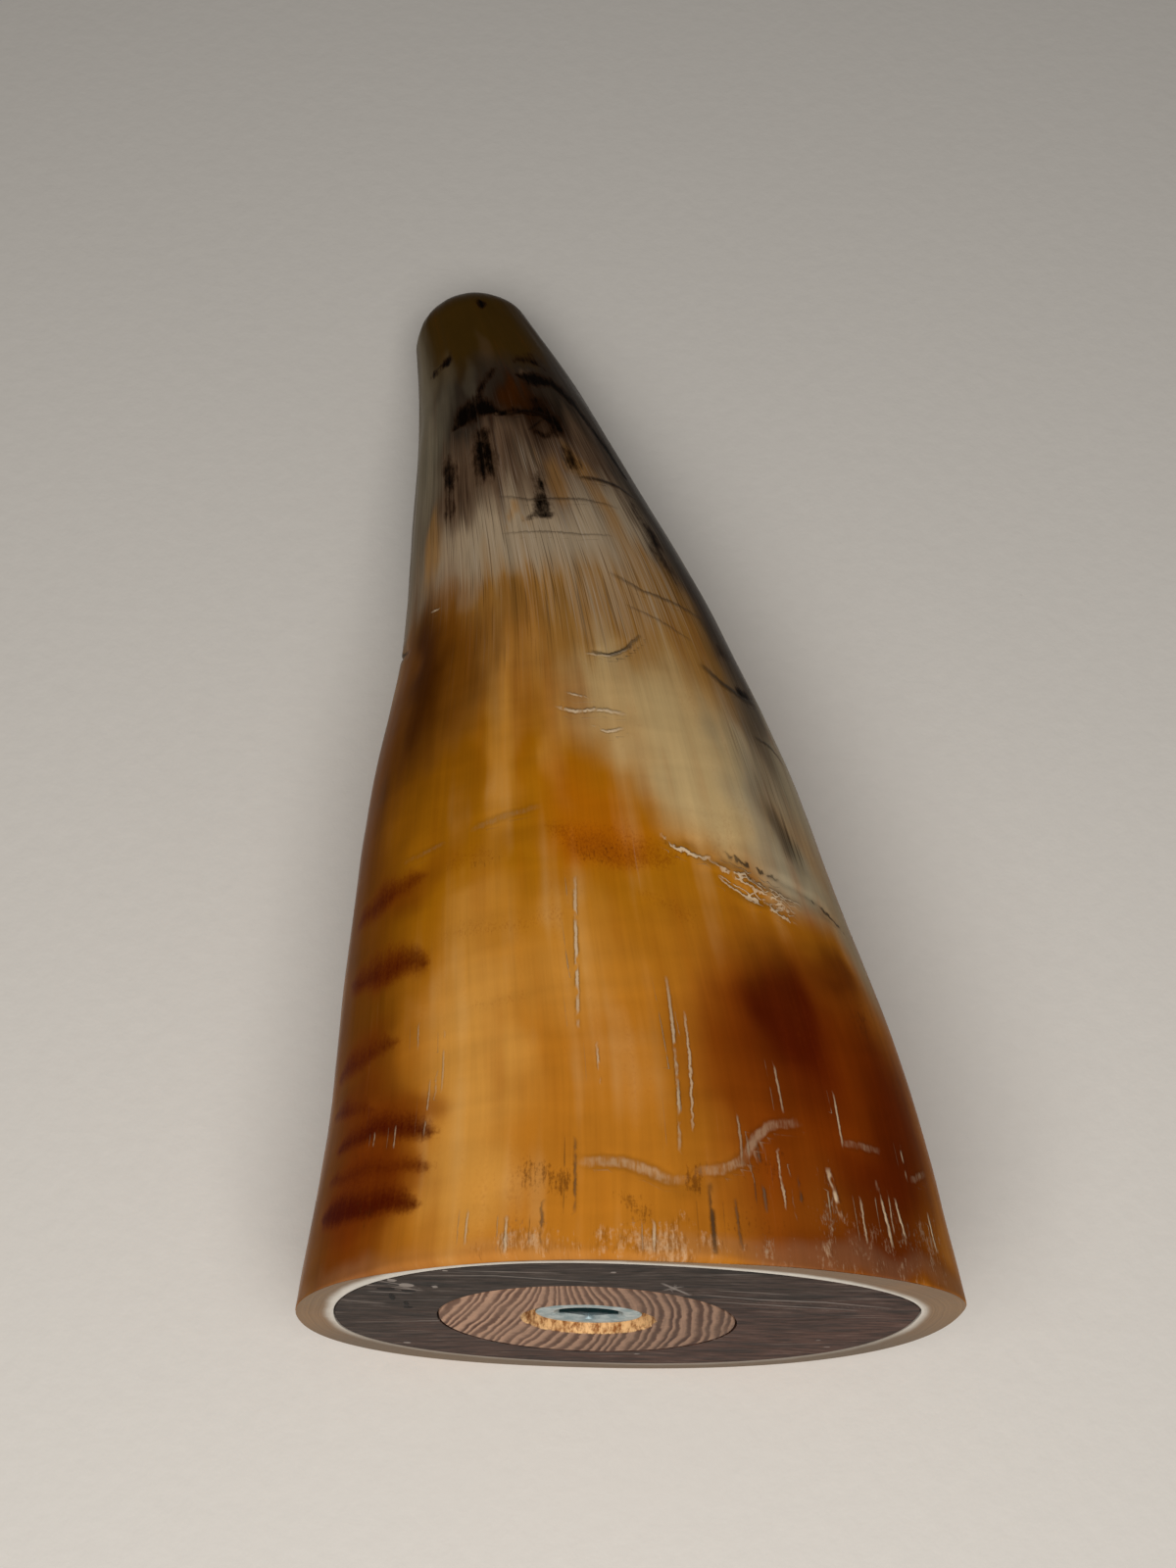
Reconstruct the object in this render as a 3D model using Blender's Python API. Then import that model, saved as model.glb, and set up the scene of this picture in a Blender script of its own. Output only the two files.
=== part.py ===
"""A polished buffalo horn, sawn square across its base.

The hollow of the base is filled by a dark wood plug. A round disc of striped wood is let into the plug, and a
threaded steel insert is sunk into the disc.

The horn lies on the ground (z = 0). Its base face is upright and looks along -Y, the tip points along +Y and
curves towards -X. The object's origin is on the ground, under the centre of its bounding box.
"""

from collections import namedtuple
from math import atan2, cos, pi, radians, sin, sqrt

import bmesh
import bpy
from mathutils import Matrix, Vector

# ---- the horn's outside ------------------------------------------------------------------------
HORN_LENGTH = 0.2434

# The course of the horn: distance along it, sideways place of its middle, and width.
Station = namedtuple("Station", "along middle width")
STATIONS = (
    Station(0.0000, 0.0000, 0.1103),
    Station(0.0292, -0.0014, 0.1026),
    Station(0.0609, -0.0059, 0.0932),
    Station(0.0974, -0.0102, 0.0822),
    Station(0.1339, -0.0149, 0.0668),
    Station(0.1704, -0.0230, 0.0518),
    Station(0.2069, -0.0316, 0.0370),
    Station(HORN_LENGTH, -0.0428, 0.0234),
)
BASE_FLATNESS = 0.765  # height over width at the base
TIP_FLATNESS = 0.96  # the same where the horn has become nearly round
ROUND_FROM = 0.195  # where along the horn that is
TIP_CAP = 0.012  # length of the rounded end
SKEW_FADES_BY = 0.146  # where along the horn the base's lopsided outline has become even
TURN_FULL_BY = 0.061  # where the sections have turned square to the horn's course

# ---- the hollow of the base and the wood in it ----------------------------------------------------
SIDE_WALL = 0.0067
TOP_WALL = 0.00435
HOLLOW_LIFT = 0.0007  # the hollow sits a little above the middle, so the wall is thicker below
HOLLOW_DEPTH = 0.120
FIT_GAP = 0.0003

# ---- the disc let into the plug ----------------------------------------------------------------
DISC_ACROSS = -0.00565
DISC_HEIGHT = 0.0403
DISC_RADIUS = 0.025
DISC_THICKNESS = 0.012

# The wide, slightly off-centre sinking that the insert's flange lies in.
SINK_ACROSS = 0.0003
SINK_RAISED = 0.0009
SINK_MOUTH_RADIUS = 0.0111
SINK_FLOOR_RADIUS = 0.0104
SINK_DEPTH = 0.0026

# ---- the threaded insert -----------------------------------------------------------------------
INSERT_TILT = radians(3.0)  # it was driven in a little askew, so its lower edge lies deeper
FLANGE_MIDDLE_DEPTH = 0.0009
FLANGE_RADIUS = 0.0090
FLANGE_THICKNESS = 0.0014
BARREL_RADIUS = 0.0070
INSERT_LENGTH = 0.020
HEX_ACROSS_FLATS = 0.010
HEX_DEPTH = 0.0065
BORE_RADIUS = 0.00425
INSERT_HOLE_DEPTH = 0.0205

# ---- how finely the round shapes are divided ------------------------------------------------------
POINTS_AROUND = 48
OUTER_SECTIONS = 40
HOLLOW_SECTIONS = 18
ROUND_SIDES = 48
OVERSHOOT = 0.001  # how far a cutter reaches past the face that it cuts

# The outline of a section, by its four outermost points and how full the quarter between each two is.
# The places are shares of the half height or half width, measured from the section's middle.
Outline = namedtuple("Outline", "right_rise left_drop top_shift bottom_shift fullness")
OUTER = Outline(0.345, 0.126, 0.0, -0.14, (2.14, 1.92, 2.33, 2.24))
HOLLOW = Outline(0.255, 0.197, -0.044, -0.087, (2.0, 2.12, 2.19, 2.21))
UNDERSIDE_FULLNESS = 2.22  # the underside stays a little flat along the whole horn


def clear_scene():
    for old in list(bpy.data.objects):
        bpy.data.objects.remove(old, do_unlink=True)


def new_collection(name):
    made = bpy.data.collections.new(name)
    bpy.context.scene.collection.children.link(made)
    return made


def finish_material(name, colour, roughness, metallic=0.0):
    made = bpy.data.materials.new(name)
    made.use_nodes = True
    shader = made.node_tree.nodes["Principled BSDF"]
    shader.inputs["Base Color"].default_value = (*colour, 1.0)
    shader.inputs["Roughness"].default_value = roughness
    shader.inputs["Metallic"].default_value = metallic
    return made


def smooth_through(places, values, at):
    """The value at this place on a smooth curve through the given points."""
    slopes = []
    for i in range(len(places)):
        low = max(i - 1, 0)
        high = min(i + 1, len(places) - 1)
        slopes.append((values[high] - values[low]) / (places[high] - places[low]))
    k = 0
    while k < len(places) - 2 and at > places[k + 1]:
        k += 1
    span = places[k + 1] - places[k]
    t = min(max((at - places[k]) / span, 0.0), 1.0)
    start = (1 + 2 * t) * (1 - t) ** 2 * values[k] + t * (1 - t) ** 2 * span * slopes[k]
    end = t * t * (3 - 2 * t) * values[k + 1] + t * t * (t - 1) * span * slopes[k + 1]
    return start + end


def middle_at(along):
    return smooth_through([s.along for s in STATIONS], [s.middle for s in STATIONS], along)


def half_width_at(along):
    return smooth_through([s.along for s in STATIONS], [s.width for s in STATIONS], along) / 2


def flatness_at(along):
    return BASE_FLATNESS + (TIP_FLATNESS - BASE_FLATNESS) * min(along / ROUND_FROM, 1.0)


def skew_at(along):
    return max(1.0 - along / SKEW_FADES_BY, 0.0)


def turn_at(along):
    """How far the section has turned about the vertical to stay square to the horn's course."""
    step = 0.001
    course = atan2(middle_at(along + step) - middle_at(along - step), 2 * step)
    return course * min(along / TURN_FULL_BY, 1.0)


def power_quarter(share, fullness):
    return (1 if share >= 0 else -1) * abs(share) ** (2 / fullness)


def section_points(outline, half_width, half_height, skew):
    """(across, up) of the points round a section, anticlockwise from its rightmost point."""
    right_up = outline.right_rise * skew * half_height
    left_up = -outline.left_drop * skew * half_height
    top_across = outline.top_shift * skew * half_width
    bottom_across = outline.bottom_shift * skew * half_width
    points = []
    for i in range(POINTS_AROUND):
        angle = 2 * pi * i / POINTS_AROUND
        right = cos(angle) >= 0
        above = sin(angle) >= 0
        quarter = (0 if right else 1) if above else (3 if right else 2)
        even = 2.0 if above else UNDERSIDE_FULLNESS
        fullness = even + (outline.fullness[quarter] - even) * skew
        across_from = top_across if above else bottom_across
        up_from = right_up if right else left_up
        reach = half_width - across_from if right else half_width + across_from
        rise = half_height - up_from if above else half_height + up_from
        across = across_from + reach * power_quarter(cos(angle), fullness)
        up = up_from + rise * power_quarter(sin(angle), fullness)
        points.append((across, up))
    return points


def placed_section(along, points, height):
    """The section's points in space, turned square to the course and centred at this height."""
    turn = turn_at(along)
    middle = middle_at(along)
    return [
        Vector((middle + across * cos(turn), along - across * sin(turn), height + up))
        for across, up in points
    ]


def outer_section(along):
    half_width = half_width_at(along)
    middle_height = half_width * flatness_at(along)
    into_cap = max((along - (HORN_LENGTH - TIP_CAP)) / TIP_CAP, 0.0)
    shrink = sqrt(1.0 - into_cap**2)
    half_width *= shrink
    points = section_points(OUTER, half_width, middle_height * shrink, skew_at(along))
    return placed_section(along, points, middle_height)


def hollow_section(along, gap):
    """A section of the hollow, or of what fills it when there is a gap to leave."""
    shrink = sqrt(1.0 - (along / HOLLOW_DEPTH) ** 3)
    outer_half_width = half_width_at(along)
    outer_half_height = outer_half_width * flatness_at(along)
    half_width = (outer_half_width - SIDE_WALL) * shrink - gap
    half_height = (outer_half_height - TOP_WALL) * shrink - gap
    points = section_points(HOLLOW, half_width, half_height, skew_at(along))
    return placed_section(along, points, outer_half_height + HOLLOW_LIFT)


def tip_point():
    height = half_width_at(HORN_LENGTH) * flatness_at(HORN_LENGTH)
    return Vector((middle_at(HORN_LENGTH), HORN_LENGTH, height))


def hollow_end(depth):
    height = half_width_at(depth) * flatness_at(depth) + HOLLOW_LIFT
    return Vector((middle_at(depth), depth, height))


def spaced_to_end(end, count, rounding):
    """Distances from 0 towards an end, closer together near it, leaving out the end itself."""
    return [end * (1 - (1 - i / count) ** rounding) for i in range(count)]


def add_ring(bm, points):
    return [bm.verts.new(point) for point in points]


def bridge_rings(bm, first, second):
    for i in range(len(first)):
        j = (i + 1) % len(first)
        bm.faces.new((first[i], first[j], second[j], second[i]))


def close_to_point(bm, ring, point):
    pole = bm.verts.new(point)
    for i in range(len(ring)):
        bm.faces.new((ring[i], ring[(i + 1) % len(ring)], pole))


def loft(bm, sections, end_point):
    """A skin over the sections, closed to a point at its far end. It gives back the first ring."""
    rings = [add_ring(bm, section) for section in sections]
    for near, far in zip(rings, rings[1:]):
        bridge_rings(bm, near, far)
    close_to_point(bm, rings[-1], end_point)
    return rings[0]


def object_from_bmesh(bm, name, material, collection):
    bmesh.ops.recalc_face_normals(bm, faces=bm.faces)
    mesh = bpy.data.meshes.new(name)
    bm.to_mesh(mesh)
    bm.free()
    mesh.shade_smooth()
    mesh.set_sharp_from_angle(angle=pi / 6)
    if material:
        mesh.materials.append(material)
    made = bpy.data.objects.new(name, mesh)
    collection.objects.link(made)
    return made


def make_horn(collection):
    bm = bmesh.new()
    outside = [outer_section(y) for y in spaced_to_end(HORN_LENGTH, OUTER_SECTIONS, 1.7)]
    rim = loft(bm, outside, tip_point())
    inside = [hollow_section(y, 0.0) for y in spaced_to_end(HOLLOW_DEPTH, HOLLOW_SECTIONS, 1.8)]
    mouth = loft(bm, inside, hollow_end(HOLLOW_DEPTH))
    bridge_rings(bm, rim, mouth)
    material = finish_material("polished_horn", (0.30, 0.16, 0.06), 0.25)
    return object_from_bmesh(bm, "horn", material, collection)


def make_plug(collection):
    bm = bmesh.new()
    depth = HOLLOW_DEPTH - FIT_GAP
    inside = [hollow_section(y, FIT_GAP) for y in spaced_to_end(depth, HOLLOW_SECTIONS, 1.6)]
    face = loft(bm, inside, hollow_end(depth))
    bm.faces.new(face)
    material = finish_material("dark_wood", (0.07, 0.045, 0.04), 0.5)
    return object_from_bmesh(bm, "base_plug", material, collection)


def add_turned_length(bm, near_radius, far_radius, start, end, sides):
    """A cylinder or cone about the Y axis, from one distance along it to another."""
    place = Matrix.Translation((0.0, (start + end) / 2, 0.0))
    bmesh.ops.create_cone(
        bm,
        cap_ends=True,
        segments=sides,
        radius1=far_radius,
        radius2=near_radius,
        depth=end - start,
        matrix=place @ Matrix.Rotation(pi / 2, 4, "X"),
    )


def make_turned(name, material, axis, collection, *size, sides=ROUND_SIDES):
    """A turned length about an axis: (near radius, far radius, start, end)."""
    bm = bmesh.new()
    add_turned_length(bm, *size, sides)
    made = object_from_bmesh(bm, name, material, collection)
    made.parent = axis
    return made


def make_cutter(name, axis, collection, *size, sides=ROUND_SIDES):
    cutter = make_turned(name, None, axis, collection, *size, sides=sides)
    cutter.hide_render = True
    cutter.display_type = "WIRE"
    return cutter


def make_axis(name, collection, location, tilt=0.0):
    """An empty whose Y axis the turned pieces are made about."""
    axis = bpy.data.objects.new(name, None)
    axis.location = location
    axis.rotation_euler.x = tilt
    collection.objects.link(axis)
    return axis


def combine(body, other, operation):
    step = body.modifiers.new(f"{operation.lower()}_{other.name}", "BOOLEAN")
    step.operation = operation
    step.object = other


def make_disc(axis, sink_axis, collection, cutters):
    material = finish_material("striped_wood", (0.38, 0.24, 0.17), 0.55)
    disc = make_turned(
        "wood_disc", material, axis, collection, DISC_RADIUS, DISC_RADIUS, 0.0, DISC_THICKNESS
    )
    slope = (SINK_MOUTH_RADIUS - SINK_FLOOR_RADIUS) / SINK_DEPTH
    outside_radius = SINK_MOUTH_RADIUS + slope * OVERSHOOT
    sink = make_cutter(
        "sink", sink_axis, cutters, outside_radius, SINK_FLOOR_RADIUS, -OVERSHOOT, SINK_DEPTH
    )
    combine(disc, sink, "DIFFERENCE")
    return disc


def cut_insert_seat(disc, plug, axis, cutters):
    """Room for the insert in the disc and, for its barrel, in the plug behind."""
    seat_radius = FLANGE_RADIUS + FIT_GAP
    seat_end = FLANGE_THICKNESS + FIT_GAP
    seat = make_cutter("flange_seat", axis, cutters, seat_radius, seat_radius, -OVERSHOOT, seat_end)
    hole_radius = BARREL_RADIUS + FIT_GAP
    hole = make_cutter(
        "insert_hole", axis, cutters, hole_radius, hole_radius, -OVERSHOOT, INSERT_HOLE_DEPTH
    )
    combine(disc, seat, "DIFFERENCE")
    combine(disc, hole, "DIFFERENCE")
    combine(plug, hole, "DIFFERENCE")


def cut_disc_recess(plug, axis, cutters):
    radius = DISC_RADIUS + FIT_GAP
    recess = make_cutter("disc_recess", axis, cutters, radius, radius, -OVERSHOOT, DISC_THICKNESS + FIT_GAP)
    combine(plug, recess, "DIFFERENCE")


def make_insert(axis, collection, cutters):
    material = finish_material("plated_steel", (0.42, 0.45, 0.46), 0.35, 1.0)
    insert = make_turned(
        "threaded_insert", material, axis, collection, FLANGE_RADIUS, FLANGE_RADIUS, 0.0, FLANGE_THICKNESS
    )
    barrel_start = FLANGE_THICKNESS / 2
    barrel = make_cutter("barrel", axis, cutters, BARREL_RADIUS, BARREL_RADIUS, barrel_start, INSERT_LENGTH)
    corner_radius = HEX_ACROSS_FLATS / 2 / cos(pi / 6)
    hexagon = make_cutter(
        "hex_socket", axis, cutters, corner_radius, corner_radius, -OVERSHOOT, HEX_DEPTH, sides=6
    )
    bore_end = INSERT_LENGTH + OVERSHOOT
    bore = make_cutter("bore", axis, cutters, BORE_RADIUS, BORE_RADIUS, -OVERSHOOT, bore_end)
    combine(insert, barrel, "UNION")
    combine(insert, hexagon, "DIFFERENCE")
    combine(insert, bore, "DIFFERENCE")
    return insert


def stand_over_origin(horn, everything, collection):
    """Moves the whole object so that its box stands on the origin."""
    corners = [vertex.co for vertex in horn.data.vertices]
    middle_x = (min(c.x for c in corners) + max(c.x for c in corners)) / 2
    middle_y = (min(c.y for c in corners) + max(c.y for c in corners)) / 2
    carrier = make_axis("horn_carrier", collection, (-middle_x, -middle_y, -min(c.z for c in corners)))
    for piece in everything:
        piece.parent = carrier


def main():
    clear_scene()
    parts = new_collection("buffalo_horn")
    cutters = new_collection("cutters")
    disc_axis = make_axis("disc_axis", parts, (DISC_ACROSS, 0.0, DISC_HEIGHT))
    sink_across = DISC_ACROSS + SINK_ACROSS
    sink_height = DISC_HEIGHT + SINK_RAISED
    sink_axis = make_axis("sink_axis", parts, (sink_across, 0.0, sink_height))
    insert_place = (sink_across, FLANGE_MIDDLE_DEPTH, sink_height)
    insert_axis = make_axis("insert_axis", parts, insert_place, INSERT_TILT)
    horn = make_horn(parts)
    plug = make_plug(parts)
    disc = make_disc(disc_axis, sink_axis, parts, cutters)
    make_insert(insert_axis, parts, cutters)
    cut_disc_recess(plug, disc_axis, cutters)
    cut_insert_seat(disc, plug, insert_axis, cutters)
    stand_over_origin(horn, [horn, plug, disc_axis, sink_axis, insert_axis], parts)


main()
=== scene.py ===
"""A polished buffalo horn with a wood-plugged base, lying on a pale table."""

from collections import namedtuple
from math import pi, radians
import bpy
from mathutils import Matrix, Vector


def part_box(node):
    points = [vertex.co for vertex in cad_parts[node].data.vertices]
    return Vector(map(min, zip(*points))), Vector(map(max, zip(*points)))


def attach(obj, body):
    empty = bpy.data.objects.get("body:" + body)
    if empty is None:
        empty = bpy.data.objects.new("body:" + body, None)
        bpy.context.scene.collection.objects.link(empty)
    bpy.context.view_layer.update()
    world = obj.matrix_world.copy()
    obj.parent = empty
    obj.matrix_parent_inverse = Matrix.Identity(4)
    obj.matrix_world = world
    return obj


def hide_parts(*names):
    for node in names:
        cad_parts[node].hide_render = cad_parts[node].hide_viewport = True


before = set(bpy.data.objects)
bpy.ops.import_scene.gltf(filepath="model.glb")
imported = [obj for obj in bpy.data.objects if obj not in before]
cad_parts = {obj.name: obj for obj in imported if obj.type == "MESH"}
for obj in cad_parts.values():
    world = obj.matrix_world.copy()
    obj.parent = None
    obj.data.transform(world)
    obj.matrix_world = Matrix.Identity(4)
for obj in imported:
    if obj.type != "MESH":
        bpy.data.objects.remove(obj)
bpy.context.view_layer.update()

from types import SimpleNamespace

import bpy
import numpy as np
from mathutils import Euler

bl_info = {
    "name": "Buffalo Horn",
    "version": (1, 0, 0),
    "blender": (4, 5, 0),
    "location": "3D View > Sidebar > Horn",
    "description": "Makes a polished buffalo horn with a wood-plugged base and a threaded insert",
    "category": "Add Mesh",
}

MM = 0.001

# ---- places read from the frame ------------------------------------------------------------------
HORN_LOW, HORN_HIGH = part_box("horn")
DISC_LOW, DISC_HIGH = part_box("wood_disc")
BASE_Y = HORN_LOW.y
BASE_X = (HORN_LOW.x + HORN_HIGH.x) / 2
DISC_X = (DISC_LOW.x + DISC_HIGH.x) / 2
DISC_Z = (DISC_LOW.z + DISC_HIGH.z) / 2
DISC_RADIUS = (DISC_HIGH.x - DISC_LOW.x) / 2
DISC_THICKNESS = DISC_HIGH.y - DISC_LOW.y

# ---- the horn's course, in metres from the sawn base --------------------------------------------------
HORN_LENGTH = 0.2433
STATION_PLACES = np.array((0.0, 0.0292, 0.0609, 0.0974, 0.1339, 0.1704, 0.2069, HORN_LENGTH))
STATION_MIDDLES = np.array((0.0, -0.0014, -0.0059, -0.0102, -0.0149, -0.0230, -0.0316, -0.0428))
STATION_WIDTHS = np.array((0.1103, 0.1026, 0.0932, 0.0822, 0.0668, 0.0518, 0.0370, 0.0234))
BASE_FLATNESS = 0.765
TIP_FLATNESS = 0.96
ROUND_FROM = 0.195
TIP_CAP = 0.012
SKEW_FADES_BY = 0.146
TURN_FULL_BY = 0.061
UNDERSIDE_FULLNESS = 2.22
EDGE_ROUND = 0.35 * MM  # the rounding of the sawn edge
TOP_EDGE_ROUND = 1.5 * MM  # the same along the top, where it was handled most
SKIN_DEPTH = 0.22 * MM  # how far the skin lies inside the horn's nominal shape, to leave room for relief

# ---- the wood in the base ----------------------------------------------------------------------------
SIDE_WALL = 0.0067
TOP_WALL = 0.00435
HOLLOW_LIFT = 0.0007
HOLLOW_DEPTH = 0.120
WOOD_GAP = 0.15 * MM
LIP_DEPTH = 0.25 * MM  # the plug's chamfer at the sawn face
LIP_INSET = 0.2 * MM
SINK_X = DISC_X + 0.0003
SINK_Z = DISC_Z + 0.0009
SINK_MOUTH_RADIUS = 0.0111
SINK_FLOOR_RADIUS = 0.0104
SINK_DEPTH = 0.0026
DISC_EDGE_GAP = 0.1 * MM

# ---- the threaded insert -----------------------------------------------------------------------------
INSERT_TILT = radians(3.0)
FLANGE_MIDDLE_DEPTH = 0.0009
FLANGE_RADIUS = 0.0090
FLANGE_THICKNESS = 0.0014
BARREL_RADIUS = 0.0070
HOLE_RADIUS = 0.0086  # the hole in both woods round the barrel
INSERT_LENGTH = 0.020
HOLE_DEPTH = 0.025
WOOD_THREAD_HEIGHT = 1.0 * MM
MACHINE_THREAD_HEIGHT = 0.8 * MM
HEX_ACROSS_FLATS = 0.010
MOUTH_RADIUS = 0.00595
HEX_DEPTH = 0.0065
BORE_RADIUS = 0.00425

# ---- the room and the view ---------------------------------------------------------------------------
TABLE_REACH = 4.0
TABLE_DROP = 0.2 * MM
LAMP_PLACE = (-0.02, -0.42, 0.62)
LAMP_TURN = (radians(22), 0.0, 0.0)
LAMP_SIZE = (0.6, 0.4)
LAMP_TINT = (1.0, 0.96, 0.92)
ROOM_TINT = (0.95, 0.93, 0.92, 1.0)
CAMERA_PLACE = (-0.00337, -0.19273, 0.37395)
CAMERA_TURN = (radians(27.33), 0.0, radians(1.66))
LENS_LENGTH = 45.0  # the lens and the sensor are in millimetres
SENSOR_SIZE = 36.0

# An outline, by how far its outermost points are shifted and how full each quarter between them is.
Outline = namedtuple("Outline", "right_rise left_drop top_shift bottom_shift fullness")
OUTER = Outline(0.345, 0.126, 0.0, -0.14, (2.14, 1.92, 2.33, 2.24))
HOLLOW = Outline(0.255, 0.197, -0.044, -0.087, (2.0, 2.12, 2.19, 2.21))

# ---- how finely the pieces are made ------------------------------------------------------------------
HORN_ROWS = 300
HORN_TIP_ROWS = 22
HORN_COLUMNS = 256
RIM_ROWS = 8
HOLLOW_ROWS = 12
PLUG_ROWS = 15
PLUG_FACE_ROWS = 40
DISC_FACE_ROWS = 14
SINK_ROWS = 6
WOOD_COLUMNS = 288
METAL_COLUMNS = 96
WOOD_THREAD_ROWS = 40
MACHINE_THREAD_ROWS = 60

# ---- colour on the horn ------------------------------------------------------------------------------
# Every place on the horn is (along, side): millimetres from the sawn base, and degrees round from the
# top, positive to the right of someone who looks along the horn from its base.

# The colour along the top, from base to tip.
GROUND = (
    (0, "amber"),
    (40, "amber"),
    (68, "honey"),
    (96, "honey"),
    (110, "straw"),
    (137, "straw"),
    (146, "fibre"),
    (153, "fibre"),
    (168, "taupe"),
    (180, "taupe"),
    (190, "slate"),
    (205, "slate"),
    (214, "olive"),
    (243, "olive"),
)

# A soft patch: its pigment, its middle, its half size each way and its strength. Later ones lie on top.
Patch = namedtuple("Patch", "pigment along side length width strength")
WASHES = (
    # unseen flanks and underside
    Patch("brown", 60, 125, 90, 40, 0.7),
    Patch("amber", 40, 160, 50, 30, 0.7),
    Patch("cream", 88, 150, 26, 22, 0.7),
    Patch("maroon", 30, 112, 20, 12, 0.6),
    Patch("umber", 70, -120, 60, 28, 0.7),
    Patch("gold", 30, -155, 34, 20, 0.6),
    Patch("maroon", 16, -98, 4, 22, 0.7),
    Patch("maroon", 34, -104, 3, 24, 0.6),
    Patch("maroon", 58, -112, 4, 20, 0.5),
    Patch("maroon", 12, -150, 5, 24, 0.5),
    Patch("ash", 120, -170, 24, 22, 0.6),
    # the golden middle
    Patch("gold", 36, -26, 26, 11, 0.85),
    Patch("gold", 92, -22, 20, 5, 0.45),
    Patch("gold", 96, -4, 14, 4, 0.5),
    Patch("brown", 88, -34, 16, 6, 0.4),
    Patch("brown", 74, -14, 3, 14, 0.25),
    Patch("gold", 62, -24, 5, 10, 0.4),
    Patch("gold", 12, -24, 9, 10, 0.7),
    Patch("gold", 52, -5, 10, 10, 0.45),
    Patch("honey", 60, -8, 6, 22, 0.35),
    Patch("brown", 22, 12, 24, 5, 0.3),
    # the left flank
    Patch("brown", 60, -66, 90, 21, 1.0),
    Patch("brown", 120, -42, 26, 16, 0.9),
    Patch("umber", 120, -53, 24, 10, 0.95),
    Patch("brown", 128, -16, 10, 14, 0.35),
    Patch("amber", 114, -14, 12, 12, 0.4),
    Patch("straw", 116, -2, 10, 10, 0.5),
    # the rusty blotch and the pale wedge
    Patch("orange", 78, 1, 13, 11, 0.6),
    Patch("orange", 71, 4, 5, 12, 0.6),
    Patch("rust", 69.5, 4, 3, 9, 0.25),
    Patch("cream", 106, 13, 12, 14, 0.7),
    Patch("cream", 95, 26, 20, 12, 0.95),
    Patch("cream", 80, 32, 11, 13, 0.95),
    Patch("cream", 88, 38, 15, 8, 0.8),
    Patch("ash", 88, 46, 18, 9, 0.9),
    Patch("ash", 96, 72, 26, 13, 0.9),
    Patch("cream", 92, 40, 14, 6, 0.5),
    Patch("ash", 68, 54, 10, 13, 0.95),
    Patch("ash", 94, 58, 18, 9, 0.8),
    Patch("ash", 60, 72, 14, 10, 0.8),
    Patch("taupe", 104, 58, 14, 8, 0.6),
    Patch("slate", 94, 42, 12, 5, 0.12),
    Patch("slate", 82, 51, 11, 4, 0.25),
    Patch("slate", 75, 54, 7, 4, 0.6),
    # the red patch
    Patch("rust", 26, 50, 26, 27, 1.0),
    Patch("rust", 24, 26, 28, 11, 0.85),
    Patch("rust", 2, 46, 6, 26, 0.7),
    Patch("maroon", 38, 37, 11, 11, 0.9),
    Patch("maroon", 24, 62, 14, 13, 0.6),
    Patch("maroon", 10, 50, 10, 16, 0.6),
    Patch("maroon", 47, 54, 5, 8, 0.6),
    # short bands on the left
    Patch("rust", 14, -53, 14, 14, 0.95),
    Patch("maroon", 1, 62, 4, 24, 0.4),
    Patch("maroon", 1, 34, 4, 14, 0.3),
    Patch("rust", 1, -46, 4, 14, 0.35),
    Patch("dusty", 1.0, 0, 2.4, 300, 0.12),
    Patch("rust", 13, -40, 4, 10, 0.5),
    Patch("rust", 26, -42, 4, 10, 0.5),
    Patch("rust", 30, -57, 10, 12, 0.65),
    Patch("rust", 45, -60, 5, 10, 0.5),
    Patch("rust", 58, -52, 4, 11, 0.5),
    Patch("rust", 73, -46, 4, 12, 0.5),
    # the upper end
    Patch("slate", 160, 60, 66, 15, 1.0),
    Patch("slate", 128, 66, 22, 12, 0.9),
    Patch("slate", 186, -66, 42, 24, 0.75),
    Patch("brown", 112, -66, 20, 10, 0.6),
    Patch("ash", 196, -68, 44, 20, 0.45),
    Patch("slate", 182, 44, 16, 7, 0.6),
    Patch("straw", 152, 26, 14, 4, 0.7),
    Patch("straw", 158, -50, 12, 5, 0.7),
    Patch("taupe", 163, -34, 8, 12, 0.7),
    Patch("soot", 194, 6, 10, 18, 0.9),
    Patch("umber", 194, 4, 7, 10, 0.55),
    Patch("soot", 184, 16, 6, 10, 0.6),
    Patch("char", 191, 18, 6, 11, 0.4),
    Patch("straw", 170, 22, 7, 4, 0.6),
    Patch("straw", 168, 12, 6, 3, 0.5),
    Patch("straw", 154, -6, 2, 6, 0.6),
    Patch("taupe", 203, 20, 2.5, 5, 0.8),
    Patch("slate", 205, -14, 8, 7, 0.5),
    Patch("ash", 208, -38, 9, 6, 0.15),
    Patch("ash", 196, -44, 9, 6, 0.15),
    Patch("ash", 204, -22, 7, 4, 0.10),
    Patch("taupe", 214, -8, 7, 4, 0.25),
)

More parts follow.
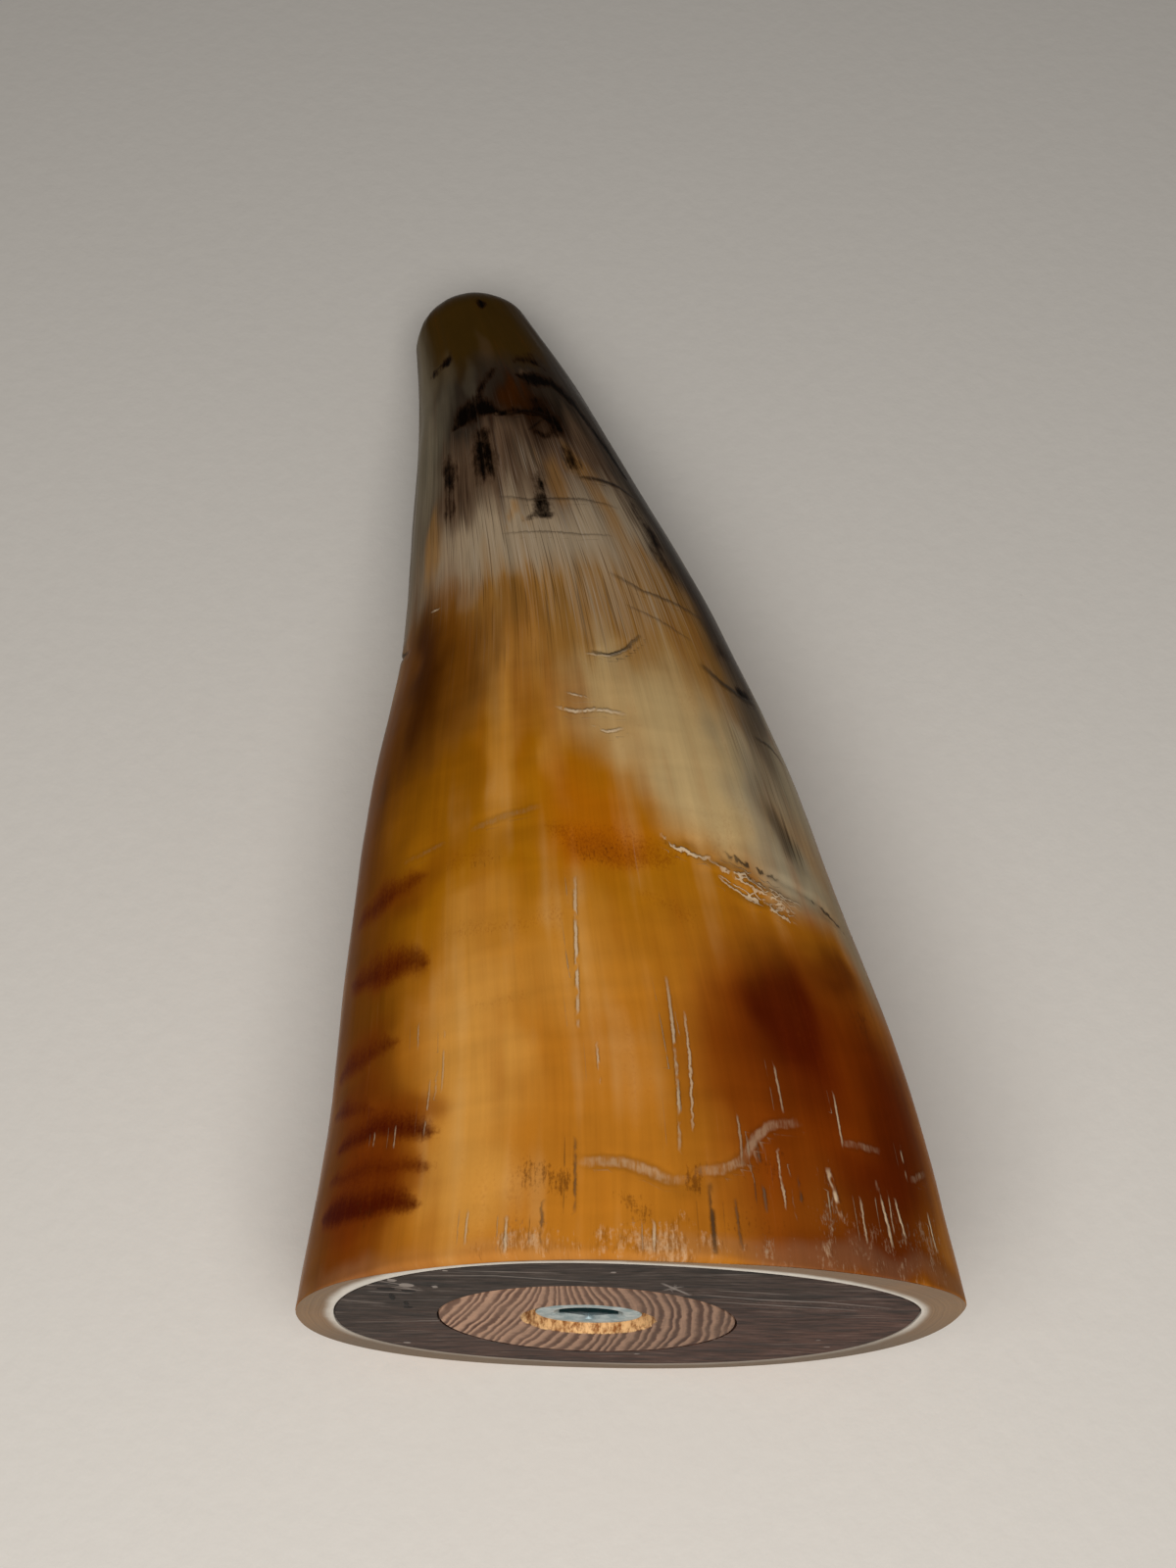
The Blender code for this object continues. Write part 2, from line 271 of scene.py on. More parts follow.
# A soft spot on a mask: its middle, its half size each way and how far it fills the mask.
Spot = namedtuple("Spot", "along side length width amount")
PALE_FIBRES = (
    Spot(147, -4, 10, 32, 0.95),
    Spot(166, -10, 9, 7, 0.6),
    Spot(172, 2, 8, 6, 0.6),
    Spot(160, 22, 18, 20, 0.45),
    Spot(136, 12, 16, 26, 0.75),
    Spot(122, 14, 14, 18, 0.55),
    Spot(176, -2, 8, 7, 0.6),
    Spot(136, 36, 18, 14, 0.75),
    Spot(148, -30, 9, 12, 0.75),
    Spot(92, 50, 14, 10, 0.45),
    Spot(130, 175, 30, 60, 0.6),
)
DARK_THREADS = (
    Spot(126, 2, 18, 24, 0.5),
    Spot(164, -33, 9, 10, 0.5),
    Spot(178, 8, 14, 44, 0.95),
    Spot(150, 44, 22, 10, 0.95),
    Spot(168, -36, 14, 18, 0.85),
    Spot(94, 44, 11, 6, 0.45),
    Spot(83, 51, 11, 5, 0.7),
    Spot(75, 54, 7, 5, 0.95),
    Spot(160, 150, 40, 60, 0.7),
)
BLACK_MARKS = (
    Spot(176, -20, 8, 6.5, 1.15),
    Spot(190.5, -22, 2.4, 8, 1.0),
    Spot(184.5, -18, 3.0, 5, 0.8),
    Spot(199.5, 21, 3.2, 8, 0.9),
    Spot(183, 21, 4, 4, 0.9),
    Spot(180.5, 13, 2.0, 6, 0.8),
    Spot(190.5, 16, 3.5, 9, 0.7),
    Spot(164, 3.0, 5, 3.6, 0.75),
    Spot(157.8, 1.5, 4.5, 3.6, 0.95),
    Spot(154.5, -4, 1.4, 7, 0.55),
    Spot(153.5, 2, 1.2, 2.5, 0.9),
    Spot(176, -38, 6, 6, 0.85),
    Spot(166, -39, 5, 5, 0.6),
    Spot(215, -34, 2.4, 6, 1.0),
    Spot(213.5, -47, 2.0, 8, 0.7),
    Spot(230.5, 10, 1.8, 5, 1.2),
    Spot(111, 58, 2.6, 5, 1.0),
    Spot(121, 56, 3.0, 5, 0.7),
    Spot(172, 22, 5, 5, 0.7),
    Spot(208, 24, 3, 14, 0.55),
    Spot(150, 46, 14, 4, 0.75),
    Spot(186, 130, 6, 20, 0.9),
    Spot(196, -130, 5, 26, 0.9),
    Spot(170, -100, 8, 6, 0.7),
)
MOTTLED = (
    Spot(71, 3, 4, 9, 0.5),
    Spot(73, -26, 2, 14, 0.35),
    Spot(13.0, -14, 3.5, 5, 0.75),
    Spot(13.5, 10.5, 3.5, 3.5, 1.0),
    Spot(8.0, 0.5, 4.5, 3.0, 0.75),
    Spot(11, -9.5, 6, 1.6, 0.7),
    Spot(5, -17, 3, 7, 0.5),
    Spot(15, 24, 5, 5, 0.5),
    Spot(5, 20, 4, 8, 0.5),
    Spot(7, 56, 6, 12, 0.6),
    Spot(10, 36, 7, 4, 0.7),
    Spot(42, 56, 5, 10, 0.6),
    Spot(31, 64, 4, 8, 0.6),
    Spot(12, -51, 4, 10, 0.5),
    Spot(24, -50, 4, 10, 0.5),
)
WORN = (
    Spot(3.6, -17, 3.2, 7, 0.85),
    Spot(2.6, 4, 3.4, 9, 0.85),
    Spot(6.5, 6, 2.5, 3, 0.6),
    Spot(1.5, -8, 3.0, 34, 0.45),
    Spot(2.5, 26, 4.0, 12, 0.45),
    Spot(5.0, 50, 8.0, 16, 0.55),
    Spot(0, 0, 2.0, 200, 0.15),
    Spot(10, 36, 8, 5, 0.6),
    Spot(8, 64, 8, 7, 0.55),
)

# A stroke: its width and the softness of its lower edge in millimetres, how far it fills the mask, and the
# (along, side) places it runs through, from left to right.
Stroke = namedtuple("Stroke", "width softness amount places")
BANDS = (
    Stroke(6.0, 2.4, 1.00, ((11.8, -66), (10.6, -52), (9.5, -39))),
    Stroke(4.6, 2.4, 0.65, ((18.2, -66), (17.3, -52), (15.8, -37))),
    Stroke(5.6, 2.4, 0.90, ((24.6, -64), (24.6, -50), (22.2, -37))),
    Stroke(5.0, 2.6, 0.70, ((33.5, -71), (30.0, -54))),
    Stroke(6.4, 3.0, 0.75, ((42.0, -70), (41.2, -58), (42.5, -48))),
    Stroke(6.0, 3.0, 0.75, ((59.5, -68), (56.6, -52), (56.5, -40))),
    Stroke(5.4, 3.0, 0.65, ((71.5, -68), (70.8, -54), (72.4, -41))),
)
GRAINS = (
    Stroke(11.0, 2.4, 0.66, ((74.5, -8), (69.4, -2), (67.4, 4), (66.6, 10), (67.6, 16))),
    Stroke(4.0, 1.6, 0.40, ((60.0, -36), (58.0, -22), (58.0, -6))),
    Stroke(3.0, 1.6, 0.35, ((45.0, -28), (44.0, -16))),
    Stroke(4.0, 1.6, 0.40, ((61.0, 8), (58.0, 14), (54.0, 20))),
    Stroke(4.0, 1.8, 0.45, ((73.0, -34), (72.0, -22))),
)
BLACK_STROKES = (
    Stroke(6.2, 1.2, 1.2, ((189.0, -31), (191.0, -21), (189.6, -10))),
    Stroke(2.2, 0.9, 1.0, ((188.2, -7), (188.4, 3), (187.2, 11))),
    Stroke(4.0, 1.2, 1.15, ((187.4, 9), (186.0, 15), (182.6, 21))),
    Stroke(4.4, 1.6, 1.1, ((200.6, 12), (199.2, 22), (197.2, 33), (192.5, 42))),
    Stroke(2.6, 1.2, 1.0, ((193.0, 40), (187.5, 45), (178.2, 50), (170, 54))),
    Stroke(1.6, 0.9, 0.6, ((206.0, 12), (207.5, 22), (204.0, 33))),
    Stroke(2.2, 1.2, 0.8, ((195.5, -18), (200.0, -10), (206.0, -1))),
)

# A line: its tone (0 dark, 1 white), its width in millimetres, its strength, and its (along, side) places.
Line = namedtuple("Line", "tone width strength places")
LONG_CRACKS = (
    Line(0.9, 0.42, 0.9, ((66, -4), (56, -5), (47, -6), (38, -7))),
    Line(0.75, 0.36, 0.9, ((46, 10.5), (32, 9.5), (17, 8.5))),
    Line(0.9, 0.30, 0.7, ((35, -3.8), (28, -3.8))),
    Line(0.8, 0.28, 0.45, ((42, -34), (30, -34.5))),
    Line(0.8, 0.26, 0.5, ((33, -37.2), (22, -37.8))),
    Line(0.8, 0.24, 0.5, ((45, -40.5), (40, -40.5))),
    Line(0.85, 0.26, 0.6, ((25.5, -51), (22.5, -51))),
    Line(0.85, 0.26, 0.6, ((25.5, -45), (21, -45))),
    Line(0.8, 0.28, 0.6, ((32, 28), (24, 28))),
    Line(0.9, 0.32, 0.8, ((28, 40.5), (20, 40))),
    Line(0.6, 0.28, 0.6, ((26, 19), (15, 19))),
    Line(0.9, 0.40, 0.8, ((22, 58), (17, 58))),
    Line(0.05, 0.45, 0.9, ((12, 13), (6, 13), (1, 13))),
    Line(0.1, 0.30, 0.7, ((19, -8.5), (7, -8.5))),
    Line(0.15, 0.36, 0.8, ((19, 22), (8, 22.3))),
)
SHORT_CRACKS = (
    Line(0.9, 0.30, 0.7, ((40, 12.6), (20, 10.8))),
    Line(0.85, 0.34, 0.8, ((18, 25.5), (9, 25.8))),
    Line(0.1, 0.30, 0.7, ((14, 29), (7, 29))),
    Line(1.0, 0.75, 1.0, ((16, 35.5), (12, 36.2), (8, 36.8))),
    Line(0.95, 0.6, 0.9, ((15, 47), (10, 48), (5, 48.5))),
    Line(0.95, 0.5, 0.9, ((13, 52), (6, 53))),
    Line(0.95, 0.5, 0.9, ((12, 64), (6, 64.5))),
    Line(0.9, 0.35, 0.7, ((12, 42), (5, 42))),
    Line(0.1, 0.30, 0.6, ((10, 17), (2, 17.3))),
    Line(0.9, 0.35, 0.7, ((7, -20), (1, -20))),
    Line(0.9, 0.35, 0.7, ((6, 4), (1, 4))),
    Line(0.1, 0.30, 0.6, ((9, -14), (2, -14))),
    Line(0.9, 0.30, 0.6, ((8, -27), (3, -27))),
    Line(1.0, 0.60, 1.0, ((102.0, -4.5), (100.6, 0), (100.9, 6), (99.5, 12))),
    Line(1.0, 0.50, 0.9, ((115.0, 5), (114.2, 11), (116.2, 17))),
    Line(1.0, 0.48, 0.9, ((97.0, 4), (95.4, 7), (96.3, 11))),
    Line(1.0, 0.40, 0.8, ((105.3, -1.5), (104.0, 3))),
    Line(1.0, 0.50, 0.8, ((139.4, -50), (138.8, -46))),
)
VEINS = (
    Line(0.0, 0.8, 1.0, ((187.6, -4), (188.4, 8), (186, 20))),
    Line(0.0, 0.55, 0.9, ((181.4, 6), (183.4, 11), (185, 15))),
    Line(0.0, 0.80, 1.0, ((165.4, 21), (165.2, 31), (164.2, 42), (162.4, 51))),
    Line(0.08, 0.50, 0.6, ((162.6, -15), (159.4, -3), (158.4, 10), (158.0, 20), (156.2, 34))),
    Line(0.08, 0.40, 0.45, ((151.6, -16), (149.6, -3), (147.4, 12), (147.0, 25))),
    Line(0.08, 0.55, 0.60, ((136.5, 18), (132.0, 28), (130.2, 42), (128.6, 53))),
    Line(0.10, 0.45, 0.40, ((127.8, 20), (124.8, 30), (120.8, 41))),
    Line(0.05, 0.95, 1.0, ((115.0, 41), (111.4, 48), (109.5, 58), (111, 66))),
    Line(0.05, 0.60, 0.9, ((99, 54), (98.5, 62), (96, 68))),
    Line(0.1, 0.50, 0.9, ((115.5, 6), (114.5, 12), (116.5, 17), (120, 22))),
    Line(0.0, 0.60, 0.8, ((141, -84), (137, -76), (134, -66))),
    Line(0.0, 0.4, 0.6, ((214, -50), (215, -33))),
)
SCARS = (
    Line(0.80, 1.3, 0.60, ((15.0, -8), (15.2, -4), (15.0, 0), (13.6, 4), (12.4, 6), (12.6, 9))),
    Line(0.80, 1.2, 0.55, ((14.0, 11), (14.3, 15), (16, 19), (20.0, 22), (22.0, 25), (22.8, 31))),
    Line(0.8, 0.9, 0.4, ((20.5, 40), (20.3, 50))),
    Line(0.8, 0.9, 0.4, ((17, 60), (19, 68))),
    Line(0.45, 0.7, 0.22, ((77.6, -47), (77.6, -40), (78.0, -34))),
    Line(0.40, 0.9, 0.35, ((79.0, -27), (80.2, -20), (80.9, -11))),
)
WRINKLES = (
    Line(1.0, 0.60, 1.0, ((73.4, 15.4), (70.8, 18.2), (69.4, 22), (68.4, 26.5))),
    Line(1.0, 0.50, 1.0, ((68.4, 26), (66.2, 29), (65.6, 34), (63.8, 39), (62.2, 44), (60.8, 49))),
    Line(1.0, 0.50, 0.95, ((65.2, 26.5), (61.8, 32), (60.2, 38), (59.0, 46))),
    Line(1.0, 0.45, 0.9, ((62.8, 30), (60.5, 34), (58.6, 39), (56.3, 45))),
    Line(0.95, 0.40, 0.8, ((66.9, 27.5), (64.2, 32.5), (62.2, 37.5))),
    Line(0.95, 0.38, 0.8, ((63.4, 33.5), (61.9, 38.5), (60.5, 43.5))),
    Line(0.05, 0.55, 0.9, ((70.4, 30), (68.2, 35), (67.0, 39), (65.8, 44))),
    Line(0.05, 0.55, 0.9, ((63.2, 53), (61.2, 60), (57.8, 66.5))),
)
LINE_GROUPS = {
    "long_cracks": LONG_CRACKS,
    "short_cracks": SHORT_CRACKS,
    "veins": VEINS,
    "scars": SCARS,
    "wrinkles": WRINKLES,
}
# How far a group's lines stray, in millimetres, how solid they are and how broken up.
STRAYING = {"long_cracks": 0.22, "short_cracks": 0.7, "veins": 0.9, "scars": 0.9, "wrinkles": 1.9}
COVER = {"long_cracks": 0.85, "short_cracks": 0.85, "veins": 0.62, "scars": 0.85, "wrinkles": 0.9}
BREAKS = {"long_cracks": 0.36, "short_cracks": 0.36, "veins": 0.24, "scars": 0.22, "wrinkles": 0.36}
LINE_REACH = 1.9  # how far from its middle a line is felt, in millimetres
BARE_WIDTH = 0.3  # the width given to places that no line reaches
FAR_FROM_HOLLOW = 9.0  # what the skin has in place of millimetres from the hollow

# A fold in the surface: its height and half width in millimetres, and the (along, side) places it runs
# through. A height below zero is a groove.
Fold = namedtuple("Fold", "height width places")
FOLDS = (
    Fold(0.40, 0.9, ((72, 15.5), (68, 24), (65, 32), (61.5, 42), (59.6, 49))),
    Fold(-0.40, 0.8, ((73.5, 16), (69.8, 25), (67, 33), (63.5, 43), (61.6, 49))),
    Fold(0.30, 0.8, ((63.8, 27), (59.8, 35), (57.2, 45))),
    Fold(-0.30, 0.8, ((65.4, 27), (61.6, 35), (58.9, 45))),
    Fold(-0.35, 1.0, ((70.4, 30), (67.4, 38), (63.4, 53), (58, 66))),
    Fold(-0.35, 1.1, ((14, -8), (14.6, -1), (12, 8), (13.2, 14), (16, 20), (20.5, 23), (22.6, 31))),
    Fold(-0.50, 1.0, ((141, -92), (137, -76), (134, -64))),
    Fold(-0.25, 1.2, ((115.5, 6), (114.5, 12), (118, 20))),
    Fold(-0.25, 1.2, ((214, -42), (215, -30))),
)

# The horn's grain: each noise has so many cells to a metre across and along the fibres, then its detail,
# its roughness and its distortion.
HORN_GRAIN = {
    "hair": (2000, 55, 2.0, 0.6),
    "needle": (2600, 55, 1.0, 0.5),
    "strand": (650, 22, 3.0, 0.6),
    "lock": (210, 12, 2.0, 0.5),
    "ripple": (45, 210, 2.0, 0.5, 0.4),
    "speck": (1800, 1500, 2.0, 0.6),
    "grit": (2600, 1700, 2.0, 0.7),
    "scratchy": (2200, 420, 2.0, 0.7),
    "cloud": (60, 45, 3.0, 0.5),
    "clot": (420, 330, 2.0, 0.6),
    "stray": (900, 700, 2.0, 0.5),
    "gap": (420, 230, 2.0, 0.6),
}
FIBRE_ROUND = 0.05  # the radius of the cylinder that the grain is laid on

# ---- marks on the plug's face, in millimetres across and up from the disc's middle --------------------
FaceSpot = namedtuple("FaceSpot", "across up width height amount")
PLUG_FLAKES = (
    FaceSpot(-28.5, 22.5, 1.4, 1.5, 1.1),
    FaceSpot(-30.5, 25.5, 1.0, 1.3, 0.9),
    FaceSpot(-24, 22, 0.8, 1.2, 0.8),
    FaceSpot(-32, -22, 0.8, 0.8, 1.0),
    FaceSpot(9, -26, 0.6, 0.6, 1.0),
    FaceSpot(42, -15, 0.7, 0.6, 0.9),
    FaceSpot(40, -10, 0.6, 0.6, 0.9),
    FaceSpot(-21.5, 33, 0.6, 0.6, 0.9),
    FaceSpot(4, 35, 0.6, 0.6, 0.9),
)
PLUG_HOLES = (
    FaceSpot(-32, 19.5, 1.8, 1.2, 1.0),
    FaceSpot(-28.5, 18.5, 1.5, 0.9, 1.0),
    FaceSpot(-29.5, 6.5, 1.0, 0.9, 1.0),
    FaceSpot(-31.5, 14, 0.7, 3.5, 0.8),
    FaceSpot(-29.6, 9.5, 0.6, 2.5, 0.8),
)
# Scratches: how strong each is, and the (up, across) places it runs through.
PLUG_SCRATCHES = tuple(
    Line(1.0, 0.4, strength, places)
    for strength, places in (
        (0.9, ((29, 11.5), (25, 14), (21, 16.5))),
        (0.7, ((27, 15), (24, 12))),
        (0.7, ((22, 17), (19.5, 27), (19, 38), (16, 49))),
        (0.6, ((17, 20), (15.5, 32), (14, 44))),
        (0.5, ((25, 20), (23.5, 32))),
        (0.6, ((29, -27), (30.5, -14), (28, 2))),
        (0.5, ((33, -20), (33.5, -4))),
        (0.8, ((21, -31), (19, -26))),
        (0.7, ((17.5, -35), (17, -28))),
        (0.7, ((25, -33), (21.5, -27))),
        (0.5, ((11, -41), (9, -33))),
    )
)


# ---- smooth curves and noise -------------------------------------------------------------------------
def linear(colour):
    """A colour as it looks, turned into the numbers that light is reckoned with."""
    shown = np.asarray(colour, float)
    return np.where(shown <= 0.04045, shown / 12.92, ((shown + 0.055) / 1.055) ** 2.4)


def smooth_through(places, values, at):
    """The value at each place on a smooth curve through the given points."""
    at = np.asarray(at, float)
    count = len(places)
    low = np.maximum(np.arange(count) - 1, 0)
    high = np.minimum(np.arange(count) + 1, count - 1)
    slopes = (values[high] - values[low]) / (places[high] - places[low])
    k = np.clip(np.searchsorted(places, at, side="left") - 1, 0, count - 2)
    span = places[k + 1] - places[k]
    t = np.clip((at - places[k]) / span, 0.0, 1.0)
    start = (1 + 2 * t) * (1 - t) ** 2 * values[k] + t * (1 - t) ** 2 * span * slopes[k]
    end = t * t * (3 - 2 * t) * values[k + 1] + t * t * (t - 1) * span * slopes[k + 1]
    return start + end


def smooth_step(value, low, high):
    """0 below low, 1 above high, and a smooth rise between."""
    t = np.clip((value - low) / (high - low), 0.0, 1.0)
    return t * t * (3 - 2 * t)


def lattice_noise(x, y, seed, repeat=64):
    """Smooth noise from -1 to 1, the same again after this many cells of x."""
    lattice = np.random.default_rng(seed).uniform(-1.0, 1.0, (repeat, 256))
    i, j = np.floor(x).astype(int), np.floor(y).astype(int)
    u, v = smooth_step(x - i, 0, 1), smooth_step(y - j, 0, 1)
    i, after = i % repeat, (i + 1) % repeat
    j, above = j % 256, (j + 1) % 256
    low = lattice[i, j] * (1 - u) + lattice[after, j] * u
    high = lattice[i, above] * (1 - u) + lattice[after, above] * u
    return low * (1 - v) + high * v


def round_noise(side, along, degrees, length, seed):
    """Noise over the horn with cells of this many degrees by this many millimetres."""
    cells = round(360 / degrees)
    return lattice_noise(side * cells / 360, along / length + 40, seed, cells)


# ---- the shape of the horn ---------------------------------------------------------------------------
def middle_at(along):
    """How far the middle of the section lies to the right of the base's middle."""
    return smooth_through(STATION_PLACES, STATION_MIDDLES, along)


def half_width_at(along):
    """Half the section's width."""
    return smooth_through(STATION_PLACES, STATION_WIDTHS, along) / 2


def half_height_at(along):
    """Half the section's height, which is flatter at the base."""
    flatness = BASE_FLATNESS + (TIP_FLATNESS - BASE_FLATNESS) * np.minimum(along / ROUND_FROM, 1.0)
    return half_width_at(along) * flatness


def skew_at(along):
    """How lopsided the section still is, from 1 at the base."""
    return np.maximum(1.0 - along / SKEW_FADES_BY, 0.0)


def turn_at(along):
    """How far the section has turned about the vertical to stay square to the horn's course."""
    step = 1.0 * MM
    course = np.arctan2(middle_at(along + step) - middle_at(along - step), 2 * step)
    return course * np.minimum(along / TURN_FULL_BY, 1.0)


def section_points(outline, angle, half_width, half_height, skew):
    """(across, up) from the section's middle, at each angle anticlockwise from its right."""
    right, above = np.cos(angle) >= 0, np.sin(angle) >= 0
    upper_right, upper_left, lower_left, lower_right = outline.fullness
    upper = np.where(right, upper_right, upper_left)
    lower = np.where(right, lower_right, lower_left)
    even = np.where(above, 2.0, UNDERSIDE_FULLNESS)
    fullness = even + (np.where(above, upper, lower) - even) * skew
    across_from = np.where(above, outline.top_shift, outline.bottom_shift) * skew * half_width
    up_from = np.where(right, outline.right_rise, -outline.left_drop) * skew * half_height
    reach = half_width - np.where(right, 1, -1) * across_from
    rise = half_height - np.where(above, 1, -1) * up_from
    across = across_from + reach * np.sign(np.cos(angle)) * np.abs(np.cos(angle)) ** (2 / fullness)
    up = up_from + rise * np.sign(np.sin(angle)) * np.abs(np.sin(angle)) ** (2 / fullness)
    return across, up


def placed(along, across, height):
    """Points in space from places on sections that are turned square to the horn's course."""
    turn = turn_at(along)
    x = BASE_X + middle_at(along) + across * np.cos(turn)
    y = BASE_Y + along - across * np.sin(turn)
    return np.stack(np.broadcast_arrays(x, y, height), axis=-1)


def outer_points(along, angle, proud=0.0):
    """Points on the horn's outside, or this far proud of it."""
    half_width, half_height = half_width_at(along), half_height_at(along)
    into_cap = np.clip((along - (HORN_LENGTH - TIP_CAP)) / TIP_CAP, 0.0, 1.0)
    shrink = np.sqrt(1.0 - into_cap**2)
    across, up = section_points(OUTER, angle, half_width * shrink, half_height * shrink, skew_at(along))
    reach = np.maximum(np.hypot(across, up), 1e-6)
    grow = 1.0 + proud / reach
    return placed(along, across * grow, half_height + up * grow)


def hollow_points(along, angle, gap=0.0):
    """Points on the wall of the hollow, or this far inside it."""
    shrink = np.sqrt(1.0 - np.clip(along / HOLLOW_DEPTH, 0.0, 1.0) ** 3)
    half_width = np.maximum((half_width_at(along) - SIDE_WALL) * shrink - gap, 0.0)
    half_height = np.maximum((half_height_at(along) - TOP_WALL) * shrink - gap, 0.0)
    across, up = section_points(HOLLOW, angle, half_width, half_height, skew_at(along))
    return placed(along, across, half_height_at(along) + HOLLOW_LIFT + up)


def side_of(angle):
    """Degrees round from the top, positive to the right, from an angle anticlockwise from the right."""
    return wrapped(90.0 - np.degrees(angle))


def wrapped(side):
    """The same place round the horn, as -180 to 180 degrees."""
    return (side + 180.0) % 360.0 - 180.0


def round_off(rows):
    """Shares of the way to a rounded end, closer together towards it, without its two ends."""
    return np.sin(np.linspace(0, pi / 2, rows + 1))[1:-1]


def skin_rows():
    """How far each ring of the skin is from the base, closer together at the sawn edge and the tip."""
    edge = np.array((0.02, 0.08, 0.2, 0.4, 0.7, 1.0, 1.35)) * MM
    body = np.linspace(1.7 * MM, HORN_LENGTH - TIP_CAP, HORN_ROWS)
    return np.concatenate([edge, body, HORN_LENGTH - TIP_CAP + TIP_CAP * round_off(HORN_TIP_ROWS)])


def edge_round(side):
    """How far the sawn edge is rounded off."""
    from_top = np.abs(side + 15.0)
    return EDGE_ROUND + (TOP_EDGE_ROUND - EDGE_ROUND) * (1.0 - smooth_step(from_top, 22.0, 42.0))


def sawn_rim(angle):
    """Points across the sawn rim from skin to hollow, and the same as millimetres from the hollow."""
    zero = np.zeros_like(angle)
    edge = outer_points(zero, angle, -edge_round(side_of(angle)))
    inner_edge = hollow_points(zero, angle)
    inward = np.linspace(0.0, 1.0, RIM_ROWS)[:, None]
    rim = edge * (1 - inward[..., None]) + inner_edge * inward[..., None]
    rim[..., 1] = BASE_Y
    return rim, (1.0 - inward) * np.linalg.norm(edge - inner_edge, axis=1) / MM


# ---- painting the horn -------------------------------------------------------------------------------
def soft_spot(spot, along, side, core=0.1):
    """How much of a soft spot lies at each place: 1 in its middle, 0 outside it."""
    away = np.hypot((along - spot.along) / spot.length, wrapped(side - spot.side) / spot.width)
    return 1.0 - smooth_step(away, core, 1.5)


def together(amounts):
    """How full a mask is that is filled by all of these amounts, one over the other."""
    empty = 1.0
    for amount in amounts:
        empty = empty * (1.0 - np.clip(amount, 0.0, 1.0))
    return 1.0 - empty


def mask_of(spots, along, side):
    """How far a mask is filled at each place by its spots together."""
    return together(spot.amount * soft_spot(spot, along, side) for spot in spots)


def face_mask(spots, across, up):
    """The same for spots on the plug's face."""
    away = [np.hypot((across - spot.across) / spot.width, (up - spot.up) / spot.height) for spot in spots]
    return together(spot.amount * (1.0 - smooth_step(far, 0.35, 1.45)) for spot, far in zip(spots, away))


def stroked(strokes, along, side, mm_per_degree):
    """How far a mask is filled by soft strokes, each with a crisp edge towards the base."""
    amounts = []
    for stroke in strokes:
        away, share = nearest_on(stroke.places, along, side, mm_per_degree)
        body = stroke.width * (0.35 + 0.65 * np.clip(np.sin(pi * share), 0.0, 1.0) ** 0.5)
        below = smooth_step(away, -stroke.softness, 0.5 * stroke.softness)
        above = 1.0 - smooth_step(away, 0.05 * body, 1.45 * body)
        beyond = 1.0 - smooth_step(np.abs(away), body, 1.5 * body)
        amounts.append(stroke.amount * below * above * beyond)
    return together(amounts)


def washed(along, side, pigments):
    """The colour deep inside the horn at each place."""
    drift = 3.0 * round_noise(side, along, 24, 22, 1) + 2.0 * round_noise(side, along, 8, 8, 2)
    swing = 5.0 * round_noise(side, along, 30, 30, 3) + 2.6 * round_noise(side, along, 9, 7, 4)
    drift = drift + 0.7 * round_noise(side, along, 3, 3, 6)
    swing = swing + 1.0 * round_noise(side, along, 2.4, 5, 7)
    fibrous = smooth_step(along, 70, 120) * (1.0 - smooth_step(along, 190, 215))
    drift = drift + fibrous * 6.0 * round_noise(side, along, 3.0, 40, 5)
    along, side = along + drift, side + swing
    places = [place for place, name in GROUND]
    stops = np.array([pigments[name] for place, name in GROUND])
    colour = np.stack([np.interp(along, places, stops[:, i]) for i in range(3)], axis=-1)
    for patch in WASHES:
        amount = (patch.strength * soft_spot(patch, along, side, core=0.35))[..., None]
        colour = colour * (1.0 - amount) + pigments[patch.pigment] * amount
    return colour


def nearest_on(places, along, side, mm_per_degree):
    """Each place's signed distance from a run of places, and how far along the run that is, 0 to 1."""
    nearest = np.full(along.shape, np.inf)
    signed = np.zeros(along.shape)
    share_of_run = np.zeros(along.shape)
    points = np.array(places, float)
    pieces = len(points) - 1
    for i, (start, end) in enumerate(zip(points[:-1], points[1:])):
        step_along, step_across = end[0] - start[0], (end[1] - start[1]) * mm_per_degree
        from_along, from_across = along - start[0], (side - start[1]) * mm_per_degree
        length = step_across**2 + step_along**2
        share = np.clip((from_across * step_across + from_along * step_along) / length, 0.0, 1.0)
        distance = np.hypot(from_across - share * step_across, from_along - share * step_along)
        turn = np.where(step_across * from_along > step_along * from_across, 1.0, -1.0)
        closer = distance < nearest
        nearest = np.where(closer, distance, nearest)
        signed = np.where(closer, distance * turn, signed)
        share_of_run = np.where(closer, (i + share) / pieces, share_of_run)
    return signed, share_of_run


def line_field(lines, along, side, mm_per_degree):
    """For the line nearest to each place: its signed distance, strength and tone, and its width."""
    signed = np.full(along.shape, LINE_REACH)
    strength, tone, width = np.zeros(along.shape), np.zeros(along.shape), np.full(along.shape, BARE_WIDTH)
    for line in lines:
        away, share = nearest_on(line.places, along, side, mm_per_degree)
        closer = np.abs(away) < np.abs(signed)
        taper = np.clip(np.sin(pi * share), 0.0, 1.0) ** 0.4
        signed = np.where(closer, away, signed)
        near = 1.0 - smooth_step(np.abs(away), 0.55 * LINE_REACH, 0.95 * LINE_REACH)
        strength = np.where(closer, line.strength * taper * near, strength)
        tone = np.where(closer, line.tone, tone)
        width = np.where(closer, line.width, width)
    return np.stack([signed, strength, tone], axis=-1), width


